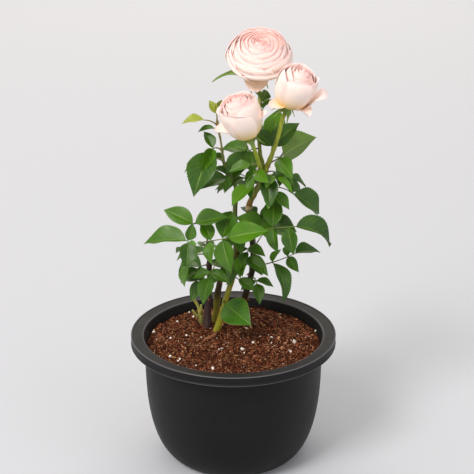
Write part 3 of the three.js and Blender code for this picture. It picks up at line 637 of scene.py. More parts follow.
def prickle(cane_name, height, heading):
    """A hooked cone: its line leaves the bark nearly square to it and bends down by 45 degrees."""
    rows = smoothed(CANES[cane_name], CANE_STEPS)
    row = rows[np.argmax(rows[:, 2] >= height)] * MM
    t = np.linspace(0, 1, 7)
    out = compass(heading, 0)
    bend = np.radians(-10 - 45 * t)[:, None]
    steps = (out * np.cos(bend) + np.array([0, 0, 1]) * np.sin(bend)) * PRICKLE_LENGTH / 6
    line = row[:3] + out * row[3] * 0.8 + np.cumsum(steps, 0)
    made = tube(line, (1.35 * (1 - t) ** 1.5 + 0.06) * MM, 8, band=(9, 10))
    made["marks"] = {"bark": np.tile(linear("#8A4A2C")[:3], (len(made["points"]), 1))}
    return made


def bark(name, roughness, streak_light, depth):
    """Bark in its own colour, with darker streaks along it and specks, and a waxy or dry face."""
    made, tree, shader = finish(
        name, Roughness=roughness, Specular_IOR_Level=0.4, Subsurface_Weight=0.05, Subsurface_Scale=1.0,
        Subsurface_Radius=(0.001, 0.001, 0.0005),
    )
    colour = add(tree, "Attribute", {}, "Color", attribute_name="bark")
    coords = add(tree, "TexCoord", {}, "Object")
    stretched = add(tree, "Mapping", {"Vector": coords, "Scale": (1, 1, 0.12)})
    streak = add(tree, "TexNoise", {"Vector": stretched, "Scale": 700.0, "Detail": 3.0})
    share = add(tree, "MapRange", {0: streak, 1: 0.38, 2: 0.7, 3: 0.0, 4: 0.6})
    darker = {0: share, 6: colour, 7: linear(streak_light)}
    streaked = add(tree, "Mix", darker, blend_type="MULTIPLY", **COLOURS)
    speck = add(tree, "TexNoise", {"Vector": coords, "Scale": 1500.0, "Detail": 1.0})
    dots = add(tree, "MapRange", {0: speck, 1: 0.62, 2: 0.72, 3: 0.0, 4: 0.5})
    fill(shader, {
        "Base Color": add(tree, "Mix", {0: dots, 6: streaked, 7: linear("#B59A70")}, **COLOURS),
        "Normal": add(tree, "Bump", {"Height": streak, "Strength": depth, "Distance": 0.0005}),
    })
    return made


# Living bark is waxed, so it has a soft sheen. Old bark is corky and dry. Streaks are 0.5 to 1 mm wide.
CANE_PIECES = dict(
    green_canes=[["cane_front", "cane_back", "neck_left", "neck_top"], "cane_green"],
    old_canes=[["cane_old_left", "cane_old_back"], "cane_old"],
)
CANE_BARK = dict(
    green_canes=bark("living_rose_bark", 0.42, "#9C9468", 0.3),
    old_canes=bark("old_rose_bark", 0.75, "#8C8084", 0.7),
)
for name, (members, slot) in CANE_PIECES.items():
    tubes = [cane(member, (k, len(members))) for k, member in enumerate(members)]
    tubes += [prickle(member, *row) for member in members for row in PRICKLES.get(member, [])]
    build(name, tubes, [CANE_BARK[name]], members)

# Pruned stubs and surface root
# The knob at the foot where old canes were cut, with three short pale stubs, and one root that shows on top
# of the mix. Both are weathered wood, cut and left.
KNOB = [
    [
        [-37, 44, FOOT - 6, 4.4], [-37, 44, FOOT, 3.2], [-37.5, 44, 140, 3], [-38, 44.5, 146, 2.4],
        [-41, 45, 157, 2], [-46, 44, 166, 1.7],
    ],
    [[-37, 44, 141, 2], [-43, 43, 146, 1.7], [-47, 43, 152, 1.4]],
    [[-38, 44.4, 146, 2], [-37, 41, 154, 1.6], [-37, 40, 160, 1.4]],
]
ROOT = [
    [-36, -8, FOOT - 3, 0.8], [-33, -4, FOOT + 0.6, 1], [-28, -1, FOOT + 2, 2.1], [-22, 6, FOOT + 1.9, 1.9],
    [-20, 15, FOOT + 1.4, 1.6], [-19, 22, FOOT - 3, 1.4],
]
BRANCH_SIDES = 22


def knotty(points):
    """Waves of 9 mm and 2.6 mm in weathered wood."""
    return 0.16 * MM * (waves(points, 9 * MM, 11) + 0.8 * waves(points, 2.6 * MM, 12))


def wood(lines, low, high):
    """Uneven tubes along these lines, coloured from low at the soil to high 24 mm above it."""
    made = []
    for k, line in enumerate(lines):
        rows = smoothed(line, 10) * MM
        branch = tube(rows[:, :3], rows[:, 3], BRANCH_SIDES, knotty, (k, len(lines)))
        branch["marks"] = {"bark": shade([[FOOT, low], [FOOT + 24, high]], branch["points"][:, 2])}
        made.append(branch)
    return made


cut_wood = bark("weathered_cut_wood", 0.8, "#8F8468", 0.6)
build("pruned_stubs_bark", wood(KNOB, "#6F6A2C", "#A9AA54"), [cut_wood], ["pruned_stubs"])
build("surface_root_bark", wood([ROOT], "#8A5434", "#9A6238"), [cut_wood], ["surface_root"])

# Leaves
# Compound rose leaves: a thin bending stalk with pairs of leaflets and one at its tip. A leaflet is thin and
# glossy on top, paler below, folded along its midrib, puckered between its veins, and finely toothed.
SLIT = 0.3 * MM
STALK_RADIUS = 1 * MM
STALK_SIDES = 8
STALK_STEPS = 6
PLAIN_LEAF = dict(sag=0, swing=0, roll=0, pairs=1, end=0.4, curl=30, fold=29, droop=12, spread=60)
PLAIN_LEAFLET = dict(spread=0, droop=0, roll=0, curl=0, fold=0, size=1, wide=1)
LEAF_WIDTH = 0.64
TEETH = 20
TOOTH_DEPTH = 0.034
VEINS = 8.5
VEIN_SLANT = 0.28


def about(v, axis, degrees):
    """v turned about a unit axis: v cos + (axis x v) sin + axis (axis . v)(1 - cos)."""
    angle = np.radians(degrees)[..., None]
    kept = axis * (v * axis).sum(-1, keepdims=True)
    return v * np.cos(angle) + np.cross(axis, v) * np.sin(angle) + kept * (1 - np.cos(angle))


def grow_leaf(rows, height, heading, rise, habit):
    """One compound leaf by the source's rule. The stalk leaves its cane at that height and bends, in steps,
    as sag and swing say. Its leaflets, in pairs and one at its end, lean off it by spread and droop. Gives
    its line, its root's move, and [base, along, face, length, curl, fold, width share] of each leaflet."""
    h = PLAIN_LEAF | habit
    marks = [(h["stalk"] + k * h["gap"]) * MM for k in range(h["pairs"])]
    total = (marks[-1] if marks else h["stalk"] * MM) + h["end"] * h["gap"] * MM
    above = max(1, int(np.argmax(rows[:, 2] >= min(height, rows[-1, 2]))))
    before, after = rows[above - 1], rows[above]
    row = before + (after - before) * min(1, (height - before[2]) / (after[2] - before[2]))
    first = compass(heading, rise)
    slant = min(0.98, abs(first @ unit(after[:3] - before[:3])))
    reach = (row[3] + SLIT + 0.05 * MM + STALK_RADIUS * slant) / math.sqrt(1 - slant**2)
    if height >= rows[-1, 2]:
        reach = SLIT + STALK_RADIUS / 2
    s = (np.arange(STALK_STEPS) + 0.5) / STALK_STEPS
    steps = compass(heading + h["swing"] * s, rise - h["sag"] * s) * total / STALK_STEPS
    line = row[:3] + first * reach + np.vstack([np.zeros(3), np.cumsum(steps, 0)])
    leaflets = []
    spots = [(f"{side}{k + 1}", mark, k) for k, mark in enumerate(marks) for side in "RL"]
    for name, distance, k in [*spots, ("T", total, -1)]:
        if name in h and h[name] is None:
            continue
        own = PLAIN_LEAFLET | h.get(name, {})
        tip = name == "T"
        share = distance / total
        bearing, lift = heading + h["swing"] * share, rise - h["sag"] * share
        along, right = compass(bearing, lift), compass(bearing - 90, 0)
        right, face = about(np.array([right, np.cross(right, along)]), along, np.array(h["roll"]))
        angle = math.radians(own["spread"] + (0 if tip else h["spread"]))
        out = along * math.cos(angle) + right * math.sin(angle) * (-1 if name[0] == "L" else 1)
        out = unit(out - face * math.sin(math.radians(own["droop"] + h["droop"] * (0.5 if tip else 1))))
        up = about(unit(face - out * (face @ out)), out, np.array(own["roll"]))
        size = h["blade"] * MM * own["size"] * (1 if tip else 0.85 if h["pairs"] == 1 else [0.75, 0.9][k])
        stops = np.linspace(0, total, STALK_STEPS + 1)
        base = np.array([np.interp(distance, stops, line[:, j]) for j in range(3)])
        curl, fold = h["curl"] + own["curl"], h["fold"] + own["fold"]
        leaflets.append([base, out, up, size, curl, fold, own["wide"]])
    return line, reach * first, leaflets


def bent(start, along, face, length, curl, lean, rows):
    """A midline in equal steps from start, its upward side and its right side. Turned about the right side,
    the line's heading is along by curl (0.35 - t), and the upward side is face by lean (0.35 - t)."""
    right = np.cross(along, face)
    turn = curl * (0.35 - (rows[1:] + rows[:-1]) / 2)
    steps = about(along, right, turn) * length / len(turn)
    line = start + np.vstack([np.zeros(3), np.cumsum(steps, 0)])
    return line, about(face, right, lean * (0.35 - rows)), right


def sheet(middle, half, marks):
    """Closed thin sheets from middle surfaces shaped (sheets, rows, columns, 3): an upper face at the middle
    plus its normal (columns x rows) times half, a lower one at minus it, and one shared edge where half is
    nothing. They are in slots 0 and 1, and lie side by side in the map, the upper faces above the lower."""
    count, rows, columns = middle.shape[:3]
    across = (np.arange(count)[:, None, None] + np.linspace(0.04, 0.96, columns)) / count
    above, below = (stacked(across, np.linspace(0.02, 0.48, rows)[:, None] + shift) for shift in (0.5, 0))
    normal = unit(np.cross(np.gradient(middle, axis=2), np.gradient(middle, axis=1)))
    inner = np.zeros(middle.shape[1:3] + (1,))
    inner[1:-1, 1:-1] = 1
    thick = normal * np.asarray(half)[..., None] * inner
    points = np.stack([middle + thick, middle - thick])
    number = np.arange(points[0, ..., 0].size).reshape(middle.shape[:3])
    under = np.where(inner[..., 0] > 0, number + number.size, number)
    marks = {name: np.stack([values, values]) for name, values in marks.items()}
    upper = woven(points, number, above, marks)
    lower = woven(points, under[:, :, ::-1], below[:, :, ::-1], slot=1)
    return upper | {part: upper[part] + lower[part] for part in ("faces", "places", "slots")}


blade_rows = np.linspace(0, 1, 3 * TEETH + 1)
half_columns = np.array([0.05, 0.2, 0.4, 0.6, 0.79, 0.93, 1])
blade_columns = np.r_[-half_columns[::-1], 0, half_columns]


def blades(leaflets, seed):
    """Leaflets as thin sheets. t runs from the foot to the tip and v across, from -1 to 1. The midline turns
    by curl (0.35 - t). With u = (t - 0.05) / 0.95, half the width is an egg's, sin(pi u ** 0.76), drawn out
    to a point by 1 - 0.3 u ** 5, with a saw edge. Each half rises by its fold, is puckered by |sin| between
    slanting veins, and waves at its margin. The blade is thickest at its foot and along its midrib."""
    own = np.random.default_rng(seed)
    t, v = blade_rows[:, None], blade_columns[None]
    a = np.abs(v)
    u = np.clip((t - 0.05) / 0.95, 0, 1)
    egg = np.sin(np.pi * u**0.76) * (1 - 0.3 * u**5)
    tooth = TOOTH_DEPTH * (np.arange(len(blade_rows))[:, None] % 3 - 1.4)
    saw = 1 + tooth * (a == 1) * (t > 0.12) * (t < 0.97)
    middles, tones = [], []
    for base, along, face, length, curl, fold, wide in leaflets:
        curl = curl + own.normal(0, 4)
        fold = np.radians(fold + own.normal(0, 3))
        line, up, right = bent(base - 0.3 * MM * along, along, face, length, curl, curl, blade_rows)
        half = np.maximum(0.45 * MM * (1.05 - t), length * LEAF_WIDTH * wide / 2 * egg) * saw
        veins = VEINS * (t - VEIN_SLANT * a) + own.uniform(0, 0.3)
        pucker = np.abs(np.sin(np.pi * veins)) ** 0.6 * a**0.7 * (1 - a**3) * np.clip(egg, 0, 1)
        ripple = np.sin(2 * np.pi * (t * own.uniform(1.2, 2) + own.uniform(0, 1) + 0.25 * np.sign(v)))
        lift = half * np.sin(fold) * (np.sqrt(a**2 + 0.012) - 0.11)
        lift = lift + 0.011 * length * pucker + half * 0.09 * ripple * a**2.5 * egg
        lift = lift - 0.18 * MM * np.exp(-((a / 0.07) ** 2)) * egg
        out = v * half * np.cos(fold)
        middles.append(line[:, None] + right * out[..., None] + up[:, None] * lift[..., None])
        tones.append(stacked(t, v, own.uniform(0, 1)))
    thick = np.where(t < 0.08, 0.4 * MM, 0.14 * MM + 0.1 * MM * np.exp(-((a / 0.08) ** 2)))
    return sheet(np.array(middles), thick, {"blade": np.array(tones)})


def blade_face(name, deep, bright, vein, edge, roughness, depth):
    """One face of a leaf. Its colour runs from deep to bright by leaflet and in soft patches, paler along
    the midrib and the veins, which repeat along t and slant back as |v| grows. The margin has its own."""
    made, tree, shader = finish(
        name, Roughness=roughness, Specular_IOR_Level=0.38, Subsurface_Weight=0.12, Subsurface_Scale=1.0,
        Subsurface_Radius=(0.0006, 0.0012, 0.0003),
    )
    mark = add(tree, "Attribute", {}, "Vector", attribute_name="blade")
    t, v, tone = add(tree, "SeparateXYZ", {0: mark}).node.outputs
    side = add(tree, "Math", {0: v}, operation="ABSOLUTE")
    slant = add(tree, "Math", {0: side, 1: -VEIN_SLANT, 2: t}, operation="MULTIPLY_ADD")
    number = add(tree, "Math", {0: slant, 1: VEINS}, operation="MULTIPLY")
    off = add(tree, "Math", {0: number, 1: 0.5}, operation="PINGPONG")
    lateral = add(tree, "MapRange", {0: off, 1: 0.01, 2: 0.1, 3: 0.12, 4: 0.0})
    midrib = add(tree, "MapRange", {0: side, 1: 0.012, 2: 0.045, 3: 0.5, 4: 0.0})
    veined = add(tree, "Math", {0: lateral, 1: midrib}, operation="MAXIMUM")
    coords = add(tree, "TexCoord", {}, "Object")
    patch = add(tree, "TexNoise", {"Vector": coords, "Scale": 90.0, "Detail": 3.0})
    share = add(tree, "Math", {0: patch, 1: 0.9, 2: tone}, operation="MULTIPLY_ADD")
    share = add(tree, "MapRange", {0: share, 1: 0.35, 2: 1.35})
    green = add(tree, "Mix", {0: share, 6: linear(deep), 7: linear(bright)}, **COLOURS)
    green = add(tree, "Mix", {0: veined, 6: green, 7: linear(vein)}, **COLOURS)
    margin = add(tree, "MapRange", {0: side, 1: 0.93, 2: 1.0, 3: 0.0, 4: 0.8})
    fine = add(tree, "TexNoise", {"Vector": coords, "Scale": 1100.0, "Detail": 2.0})
    height = add(tree, "Math", {0: veined, 1: -0.8, 2: fine}, operation="MULTIPLY_ADD")
    fill(shader, {
        "Base Color": add(tree, "Mix", {0: margin, 6: green, 7: linear(edge)}, **COLOURS),
        "Normal": add(tree, "Bump", {"Height": height, "Strength": depth, "Distance": 0.0003}),
    })
    return made


# A living leaf: waxed and softly glossy above, matt and paler below, with light through it. The net of small
# veins is 0.3 mm wide and is drawn at 0.9 mm. Young leaves are thinner, olive, with a red margin.
leaf_faces = [
    blade_face("waxed_leaf_upper", "#214501", "#487602", "#8DAA3A", "#345B02", 0.42, 0.25),
    blade_face("matt_leaf_under", "#47661F", "#698535", "#9AAE62", "#587028", 0.6, 0.5),
]
young_faces = [
    blade_face("young_leaf_upper", "#64741A", "#969F3A", "#BCBE62", "#8E4A22", 0.34, 0.3),
    blade_face("young_leaf_under", "#86903E", "#A8AE5A", "#C6C27C", "#9A5A34", 0.5, 0.4),
]
# The lowest leaf at the front is a flat old one with a thin bronze margin
edged_face = blade_face("bronze_edged_leaf_upper", "#2C5A04", "#4F850A", "#8DAA3A", "#8A4E26", 0.42, 0.25)
edged_faces = [edged_face, leaf_faces[1]]
# A stalk is smooth and waxy, browner at its root than at its tip, and flecked every 4 mm. Its thickness is
# given at shares of its length.
stalk_skin, tree, shader = finish("leaf_stalk_skin", Roughness=0.5, Specular_IOR_Level=0.4)
tint = add(tree, "Attribute", {}, "Color", attribute_name="bark")
fleck = add(tree, "TexNoise", {"Vector": add(tree, "TexCoord", {}, "Object"), "Scale": 250.0})
flecked = {0: fleck, 6: tint, 7: linear("#C8BFA0")}
fill(shader, {"Base Color": add(tree, "Mix", flecked, blend_type="MULTIPLY", **COLOURS)})
STALK_COLOURS = dict(leaf=["#6E5A2C", "#6F8A3A"], leaf_young=["#7A5A2A", "#8E8A34"])
STALK_THICKNESS = [[0, 0.1, 0.2, 1], [1.5, 1, 0.8, 0.5]]

# Smaller leaves that fill the middle of the bush, by the same rule. They stand on the canes too, within the
# reach of the large ones.
FILLING = dict(
    centre_high=["cane_back", 258, -50, 34, dict(
        sag=20, stalk=10, gap=6, pairs=0, blade=36, T=dict(spread=90, droop=-40, roll=-80, wide=1.2))],
    centre_wide=["cane_back", 262, -20, 50, dict(sag=60, stalk=12, gap=12, blade=36, roll=30, spread=64)],
    centre_dark=["cane_back", 222, -80, 18, dict(sag=40, swing=-60, stalk=14, gap=12, blade=32, roll=10)],
    centre_low=["cane_back", 196, -60, 22, dict(sag=60, swing=-20, stalk=10, gap=9, blade=26, spread=70)],
    left_round=["cane_old_left", 228, -160, 24, dict(sag=60, swing=50, stalk=22, gap=12, blade=30, roll=30)],
    left_dark=["cane_old_left", 205, -120, 12, dict(sag=50, stalk=12, gap=10, blade=27, roll=-24)],
    upper_back=["cane_back", 318, 150, 25, dict(sag=50, stalk=14, gap=14, blade=40, spread=66)],
    fork_front=["cane_back", 326, -60, 26, dict(sag=50, swing=30, stalk=10, gap=10, blade=27, spread=66)],
    fork_right=["cane_back", 330, -10, 16, dict(sag=60, stalk=8, gap=10, blade=28, spread=64)],
    neck_dark=["neck_top", 396, -60, 50, dict(stalk=3, gap=5, blade=20, roll=-60, spread=50)],
    neck_shade=["neck_top", 352, -150, 14, dict(sag=50, stalk=10, gap=10, blade=36, roll=-30)],
    neck_front=["neck_left", 337, -125, -14, dict(sag=50, stalk=5, gap=8, blade=29, roll=20, spread=64)],
    fork_shade=["cane_back", 328, 150, 16, dict(sag=20, stalk=18, gap=14, blade=34, roll=-20)],
    centre_deep=["cane_back", 238, -112, 12, dict(sag=50, stalk=8, gap=10, blade=31, roll=20, spread=66)],
    centre_shade=["cane_back", 256, -152, 4, dict(sag=40, stalk=12, gap=10, blade=30, roll=-16)],
    centre_left=["cane_front", 216, -150, 16, dict(sag=50, stalk=8, gap=9, blade=27, roll=-30, spread=70)],
)
stalks = []
leaf_rows = {name: smoothed(stations, 2) * MM for name, stations in cane_rows.items()}
grown = LEAVES | FILLING
for k, (name, (cane_name, height, heading, rise, habit)) in enumerate(grown.items()):
    line, root, leaflets = grow_leaf(leaf_rows[cane_name], height * MM, heading, rise, habit)
    slot = "leaf_young" if name.startswith("leaf_young") else "leaf"
    faces = young_faces if slot == "leaf_young" else edged_faces if name == "leaf_front_low" else leaf_faces
    replaced = [name] if name in LEAVES else ()
    build("blades_" + name.removeprefix("leaf_"), [blades(leaflets, 100 + k)], faces, replaced)
    line = smoothed(np.vstack([line[0] - 0.75 * root, line]), 4)
    thick = np.interp(np.linspace(0, 1, len(line)), *STALK_THICKNESS) * MM
    stalk = tube(line, thick, STALK_SIDES, band=(k, len(grown)))
    low, high = np.array([linear(code)[:3] for code in STALK_COLOURS[slot]])
    stalk["marks"] = {"bark": low + (high - low) * np.linspace(0, 1, len(stalk["points"]))[:, None]}
    stalks.append(stalk)
build("leaf_stalks", stalks, [stalk_skin], list(LEAVES))

# Calyxes
# Under each bloom a smooth green hip, with five sepals on its shoulder that are bent back. Sepals are
# leaf-like, downy and pale green inside. A sepal: azimuth, length, lift, curl, half width, roll.
SEPALS = dict(
    top=[
        [-172, 53, 6, 88, 6.2, -62], [-122, 22, -44, 30, 3.4, 0], [-40, 16, -50, 30, 3.1, 0],
        [50, 22, -30, 40, 3.1, 0], [130, 22, -30, 40, 3.1, 0],
    ],
    left=[
        [-10, 14, -40, 30, 3.1, 0], [-85, 11, -60, 20, 3.1, 0], [60, 16, -40, 30, 3.1, 0],
        [130, 16, -40, 30, 3.1, 0], [-155, 12, -50, 30, 3.1, 0],
    ],
    right=[
        [-150, 15, -44, 30, 3.1, 0], [-64, 15, -66, 10, 3.1, 0], [20, 14, -44, 30, 3.1, 0],
        [95, 18, -40, 30, 3.1, 0], [160, 16, -40, 30, 3.1, 0],
    ],
)
SEPAL_ROWS = np.linspace(0, 1, 33)
SEPAL_COLUMNS = np.linspace(-1, 1, 9)
SEPAL_HALF = 0.22 * MM
HIP_SIDES = 40


def hip(bloom):
    """The hip turned round the bloom's axis: a rounded profile from its neck to where the petals start."""
    wide = bloom["hip"]
    corners = [
        [0, -9.6, 0], [2.4, -9.3, 0.5], [wide * 0.86, -6.4, 1.5], [wide, -4, 1.1], [wide * 0.96, -2, 0.9],
        [3.4, -0.2, 0.8], [0, 0.4, 0],
    ]
    body = turned_body(rounded(corners) * MM, HIP_SIDES)
    base, axes = bloom_frame(bloom)
    body["points"] = base + body["points"] @ axes
    body["marks"] = {"blade": np.tile([0.3, 0.5, 0.5], (len(body["points"]), 1))}
    body["slots"] = [1] * len(body["faces"])
    body["places"] = [place * [0.1, 0.04] for place in body["places"]]
    return body


def sepals(bloom, rows, seed):
    """Sepals by the leaflets' rule, rooted on the hip's shoulder. Half the width is 1 - t ** 1.6 times a slow
    wave, and the sides rise by |v| ** 1.5. roll turns a sepal about its own midline."""
    own = np.random.default_rng(seed)
    base, axes = bloom_frame(bloom)
    t, v = SEPAL_ROWS[:, None], SEPAL_COLUMNS[None]
    middles = []
    for azimuth, length, lift, curl, wide, roll in rows:
        along, face = compass(azimuth, np.array([lift, lift + 90])) @ axes
        root = base + (compass(azimuth, 0) * bloom["hip"] * 0.7 + [0, 0, -2.6]) @ axes * MM
        line, up, right = bent(root, along, face, length * MM, curl + own.normal(0, 5), curl, SEPAL_ROWS)
        sides = np.stack([np.broadcast_to(right, up.shape), up])
        across, up = about(sides, np.cross(up, right), np.array(roll))
        half = (wide * (1 - t**1.6) * (0.75 + 0.25 * np.sin(7 * t)) + 0.12) * MM
        out = (v * half)[..., None]
        lift = half * (0.35 * np.abs(v) ** 1.5 + 0.12 * np.sin(9 * t + v + own.uniform(0, 6)))
        middles.append(line[:, None] + across[:, None] * out + up[:, None] * lift[..., None])
    marks = {"blade": stacked(t, v, 0.6)[None].repeat(len(rows), 0)}
    return sheet(np.array(middles), SEPAL_HALF, marks)


# Calyx skin is waxy and green outside, and downy cream-green inside, so its inner face looks matt and pale
calyx_faces = [
    blade_face("calyx_inner_down", "#4C6A2C", "#7C9848", "#A3B26C", "#7E8640", 0.6, 0.3),
    blade_face("calyx_outer_skin", "#4F6A22", "#77923A", "#93A556", "#7A6A34", 0.5, 0.3),
]
for k, (name, bloom) in enumerate(BLOOMS.items()):
    made = [hip(bloom), sepals(bloom, SEPALS[name], 60 + k)]
    build(f"sepals_{name}", made, calyx_faces, [f"calyx_{name}"])

# Blooms
# Three double blooms of cream petals flushed with pink, packed in a swirl. A petal is thin and velvety; it
# rises from the hip, bellies out to the cup, and turns over at its rim. A hanging guard petal: azimuth,
# length, width, lift, curl, and how far out and up its foot is, where that isn't the usual place.
GUARDS = dict(
    top=[
        [-100, 25, 25, -28, -20], [-10, 31, 30, 14, 10], [110, 31, 34, 4, -36, 2.5, 0.2],
        [190, 30, 28, 16, 14],
    ],
    left=[[180, 29, 26, 24, 55], [-14, 31, 20, 39, 36]],
    right=[[80, 32, 27, 42, 60], [-50, 23, 20, 8, 50], [185, 25, 22, 46, 20], [-146, 20, 16, -18, -20]],
)
GUARD_FOOT = [7, 4]
# Rounds of petals from the outside in: count, belly radius, rim radius, rim height, half span, first azimuth,
# turn-over and its length, in mm and degrees. A last share makes the rim higher at one side.
ROUNDS = dict(
    top=[
        [5, 36, 34.5, 25, 48, -75, 60, 4.5], [5, 34, 31, 31, 48, -110, 44, 3.6],
        [5, 30.5, 27, 34.4, 50, -72, 36, 3.2], [5, 26.5, 22.8, 36.8, 52, -104, 32, 3],
        [5, 22.4, 18.4, 38.6, 54, -78, 30, 2.8], [4, 18, 14, 39.8, 62, -112, 28, 2.6],
        [4, 13.7, 10, 40.6, 64, -70, 26, 2.2], [3, 9.8, 6.8, 41, 78, -100, 24, 1.8],
        [3, 6.6, 4.2, 41.2, 82, -40, 22, 1.4], [2, 4, 1.9, 41.1, 115, -90, 20, 1],
    ],
    left=[
        [1, 21.5, 19.5, 41, 76, 95, 70, 5], [1, 21.5, 20, 36, 66, 178, 100, 8],
        [1, 22, 18, 42, 66, -40, 80, 6], [1, 22.4, 20.6, 38.5, 62, -114, 110, 6, -0.08],
        [3, 17.6, 14.4, 42.5, 68, -75, 56, 5], [3, 13.8, 10, 46, 72, -115, 42, 3.4],
        [3, 9.7, 6.6, 47.8, 78, -70, 34, 2.4], [3, 6.3, 3.6, 48.6, 82, -110, 28, 1.6],
        [2, 3.4, 1.5, 48.6, 115, -90, 20, 0.8],
    ],
    right=[
        [1, 21.5, 19.5, 38, 76, 95, 70, 5], [1, 21.5, 19, 37, 66, 168, 60, 5],
        [1, 22, 18.4, 39, 64, -20, 90, 6], [1, 22.4, 20.4, 37.5, 58, -114, 70, 4.5, 0.15],
        [3, 17.6, 14.4, 40.5, 68, -70, 56, 5], [3, 13.8, 10, 43, 72, -110, 42, 3.4],
        [3, 9.7, 6.6, 44.8, 78, -65, 34, 2.4], [3, 6.3, 3.6, 45.6, 82, -105, 28, 1.6],
        [2, 3.4, 1.5, 45.6, 115, -85, 20, 0.8], [1, 23.2, 27.5, 30, 34, -14, 50, 6],
    ],
)
# How far each bloom's face is tipped towards its front, and the point that its petals make for as they leave
# the hip: a share of the belly radius, and a height
TIPPED = dict(top=0.17, left=0.03, right=0.03)
BULGE = dict(top=[0.85, 9], left=[1, 1.4], right=[0.98, 1.4])
PETAL_ROWS = np.linspace(0, 1, 29)
PETAL_COLUMNS = np.linspace(-1, 1, 29)
PETAL_HALF = 0.2 * MM
RIM_START = 0.8
HEART_SIDES = 48


def petal(belly, rim, height, span, azimuth, over, lip, rng, warm, tipped, bulge, slant, roll):
    """One petal on a grid of q, foot to rim, and v, side to side, in cylinder coordinates about the bloom's
    axis. Up to q = 0.8 its meridian is a cubic curve drawn to four poles, from the hip round the belly to
    the rim; then it turns over along an arc of length lip. Its outline is rounded: q shrinks by 0.12 times
    |v| ** 2.4, and the width by a root towards the rim. One side laps outside the other, roll turns the sides
    outwards, and the face is tipped by a share of the radius. Gives the points, and q, v and warm."""
    s, v = PETAL_ROWS[:, None], PETAL_COLUMNS[None]
    a = np.abs(v)
    q = s * (1 - 0.12 * a**2.4 + 0.03 * rng.normal() * v)
    top = height - lip * 0.35 + rng.normal(0, 0.4)
    shoulder = top - (belly - rim) * 0.5 - 0.11 * height
    poles = [[2.5, 0.6], [belly * bulge[0], bulge[1]], [belly * 1.05, shoulder], [rim, top]]
    p0, p1, p2, p3 = np.array(poles)
    u = np.clip(q / RIM_START, 0, 1)[..., None]
    cup = (1 - u) ** 3 * p0 + 3 * u * (1 - u) ** 2 * p1 + 3 * u**2 * (1 - u) * p2 + u**3 * p3
    lean = math.atan2(*(p3 - p2))
    turn = np.radians(over) * (0.8 + 0.35 * a) * rng.uniform(0.85, 1.15)
    y = np.clip((q - RIM_START) / (1 - RIM_START), 0, 1)
    r = cup[..., 0] + lip * (np.cos(lean) - np.cos(lean + turn * y)) / turn
    z = cup[..., 1] + lip * (np.sin(lean + turn * y) - np.sin(lean)) / turn
    z = z * (1 + slant * v)
    r = r * (1 + 0.026 * v + roll * a**7) + 0.012 * belly * s**3 * np.sin(3.4 * v + rng.uniform(0, 6))
    z = z + 0.02 * height * s**3 * np.sin(3 * v + rng.uniform(0, 6))
    width = np.sqrt(1 - 0.62 * np.clip((s - 0.5) / 0.5, 0, 1) ** 3)
    angle = np.radians(azimuth + v * span * width)
    z = z + tipped * r * np.sin(angle) * s
    return stacked(r * np.cos(angle), r * np.sin(angle), z), stacked(s, v, warm)


def heart(rows, tipped, low, axes, base):
    """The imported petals' own mass: a closed body turned just inside the rims, so no gap looks hollow. It is
    tipped as the petals are: z grows by a share of y."""
    rims = [[row[2] - 1.2, row[3] - 2.4, 0.6] for row in rows if row[0] > 1]
    corners = [[0, 1.5, 0], [rows[0][1] * 0.5, low + 3, 3], *rims, [0, rims[-1][1] - 1.6, 0]]
    body = turned_body(rounded(corners) * MM, HEART_SIDES)
    points = body["points"]
    points[:, 2] += tipped * points[:, 1]
    body["points"] = base + points @ axes
    body["marks"] = {"petal": np.tile([0.6, 0.5, 0.6], (len(points), 1))}
    body["places"] = [place * [0.01, 0.02] for place in body["places"]]
    return body


def guard(azimuth, length, width, lift, curl, foot, rng):
    """A broad outer petal that hangs out from the cup, by the leaflets' rule: half the width is that of a
    blunt egg, sin(pi t ** 0.85) ** 0.62, and it is cupped by v ** 2. foot is its start, out and up, in mm."""
    t, v = PETAL_ROWS[:, None], PETAL_COLUMNS[None]
    along, face = compass(azimuth, np.array([lift + 12, lift + 102]))
    start = compass(azimuth, 0) * foot[0] + [0, 0, foot[1]]
    line, up, right = bent(start, along, face, length, curl, curl, PETAL_ROWS)
    half = width / 2 * (np.sin(np.pi * np.clip(t * 0.97, 0, 1) ** 0.85) ** 0.62 + 0.02)
    rise = half * (0.42 * v**2 - 0.1) + 0.05 * width * t**2 * np.sin(3 * v + rng.uniform(0, 6))
    points = line[:, None] + right * (v * half)[..., None] + up[:, None] * rise[..., None]
    return points, stacked(t, v, 0.15)


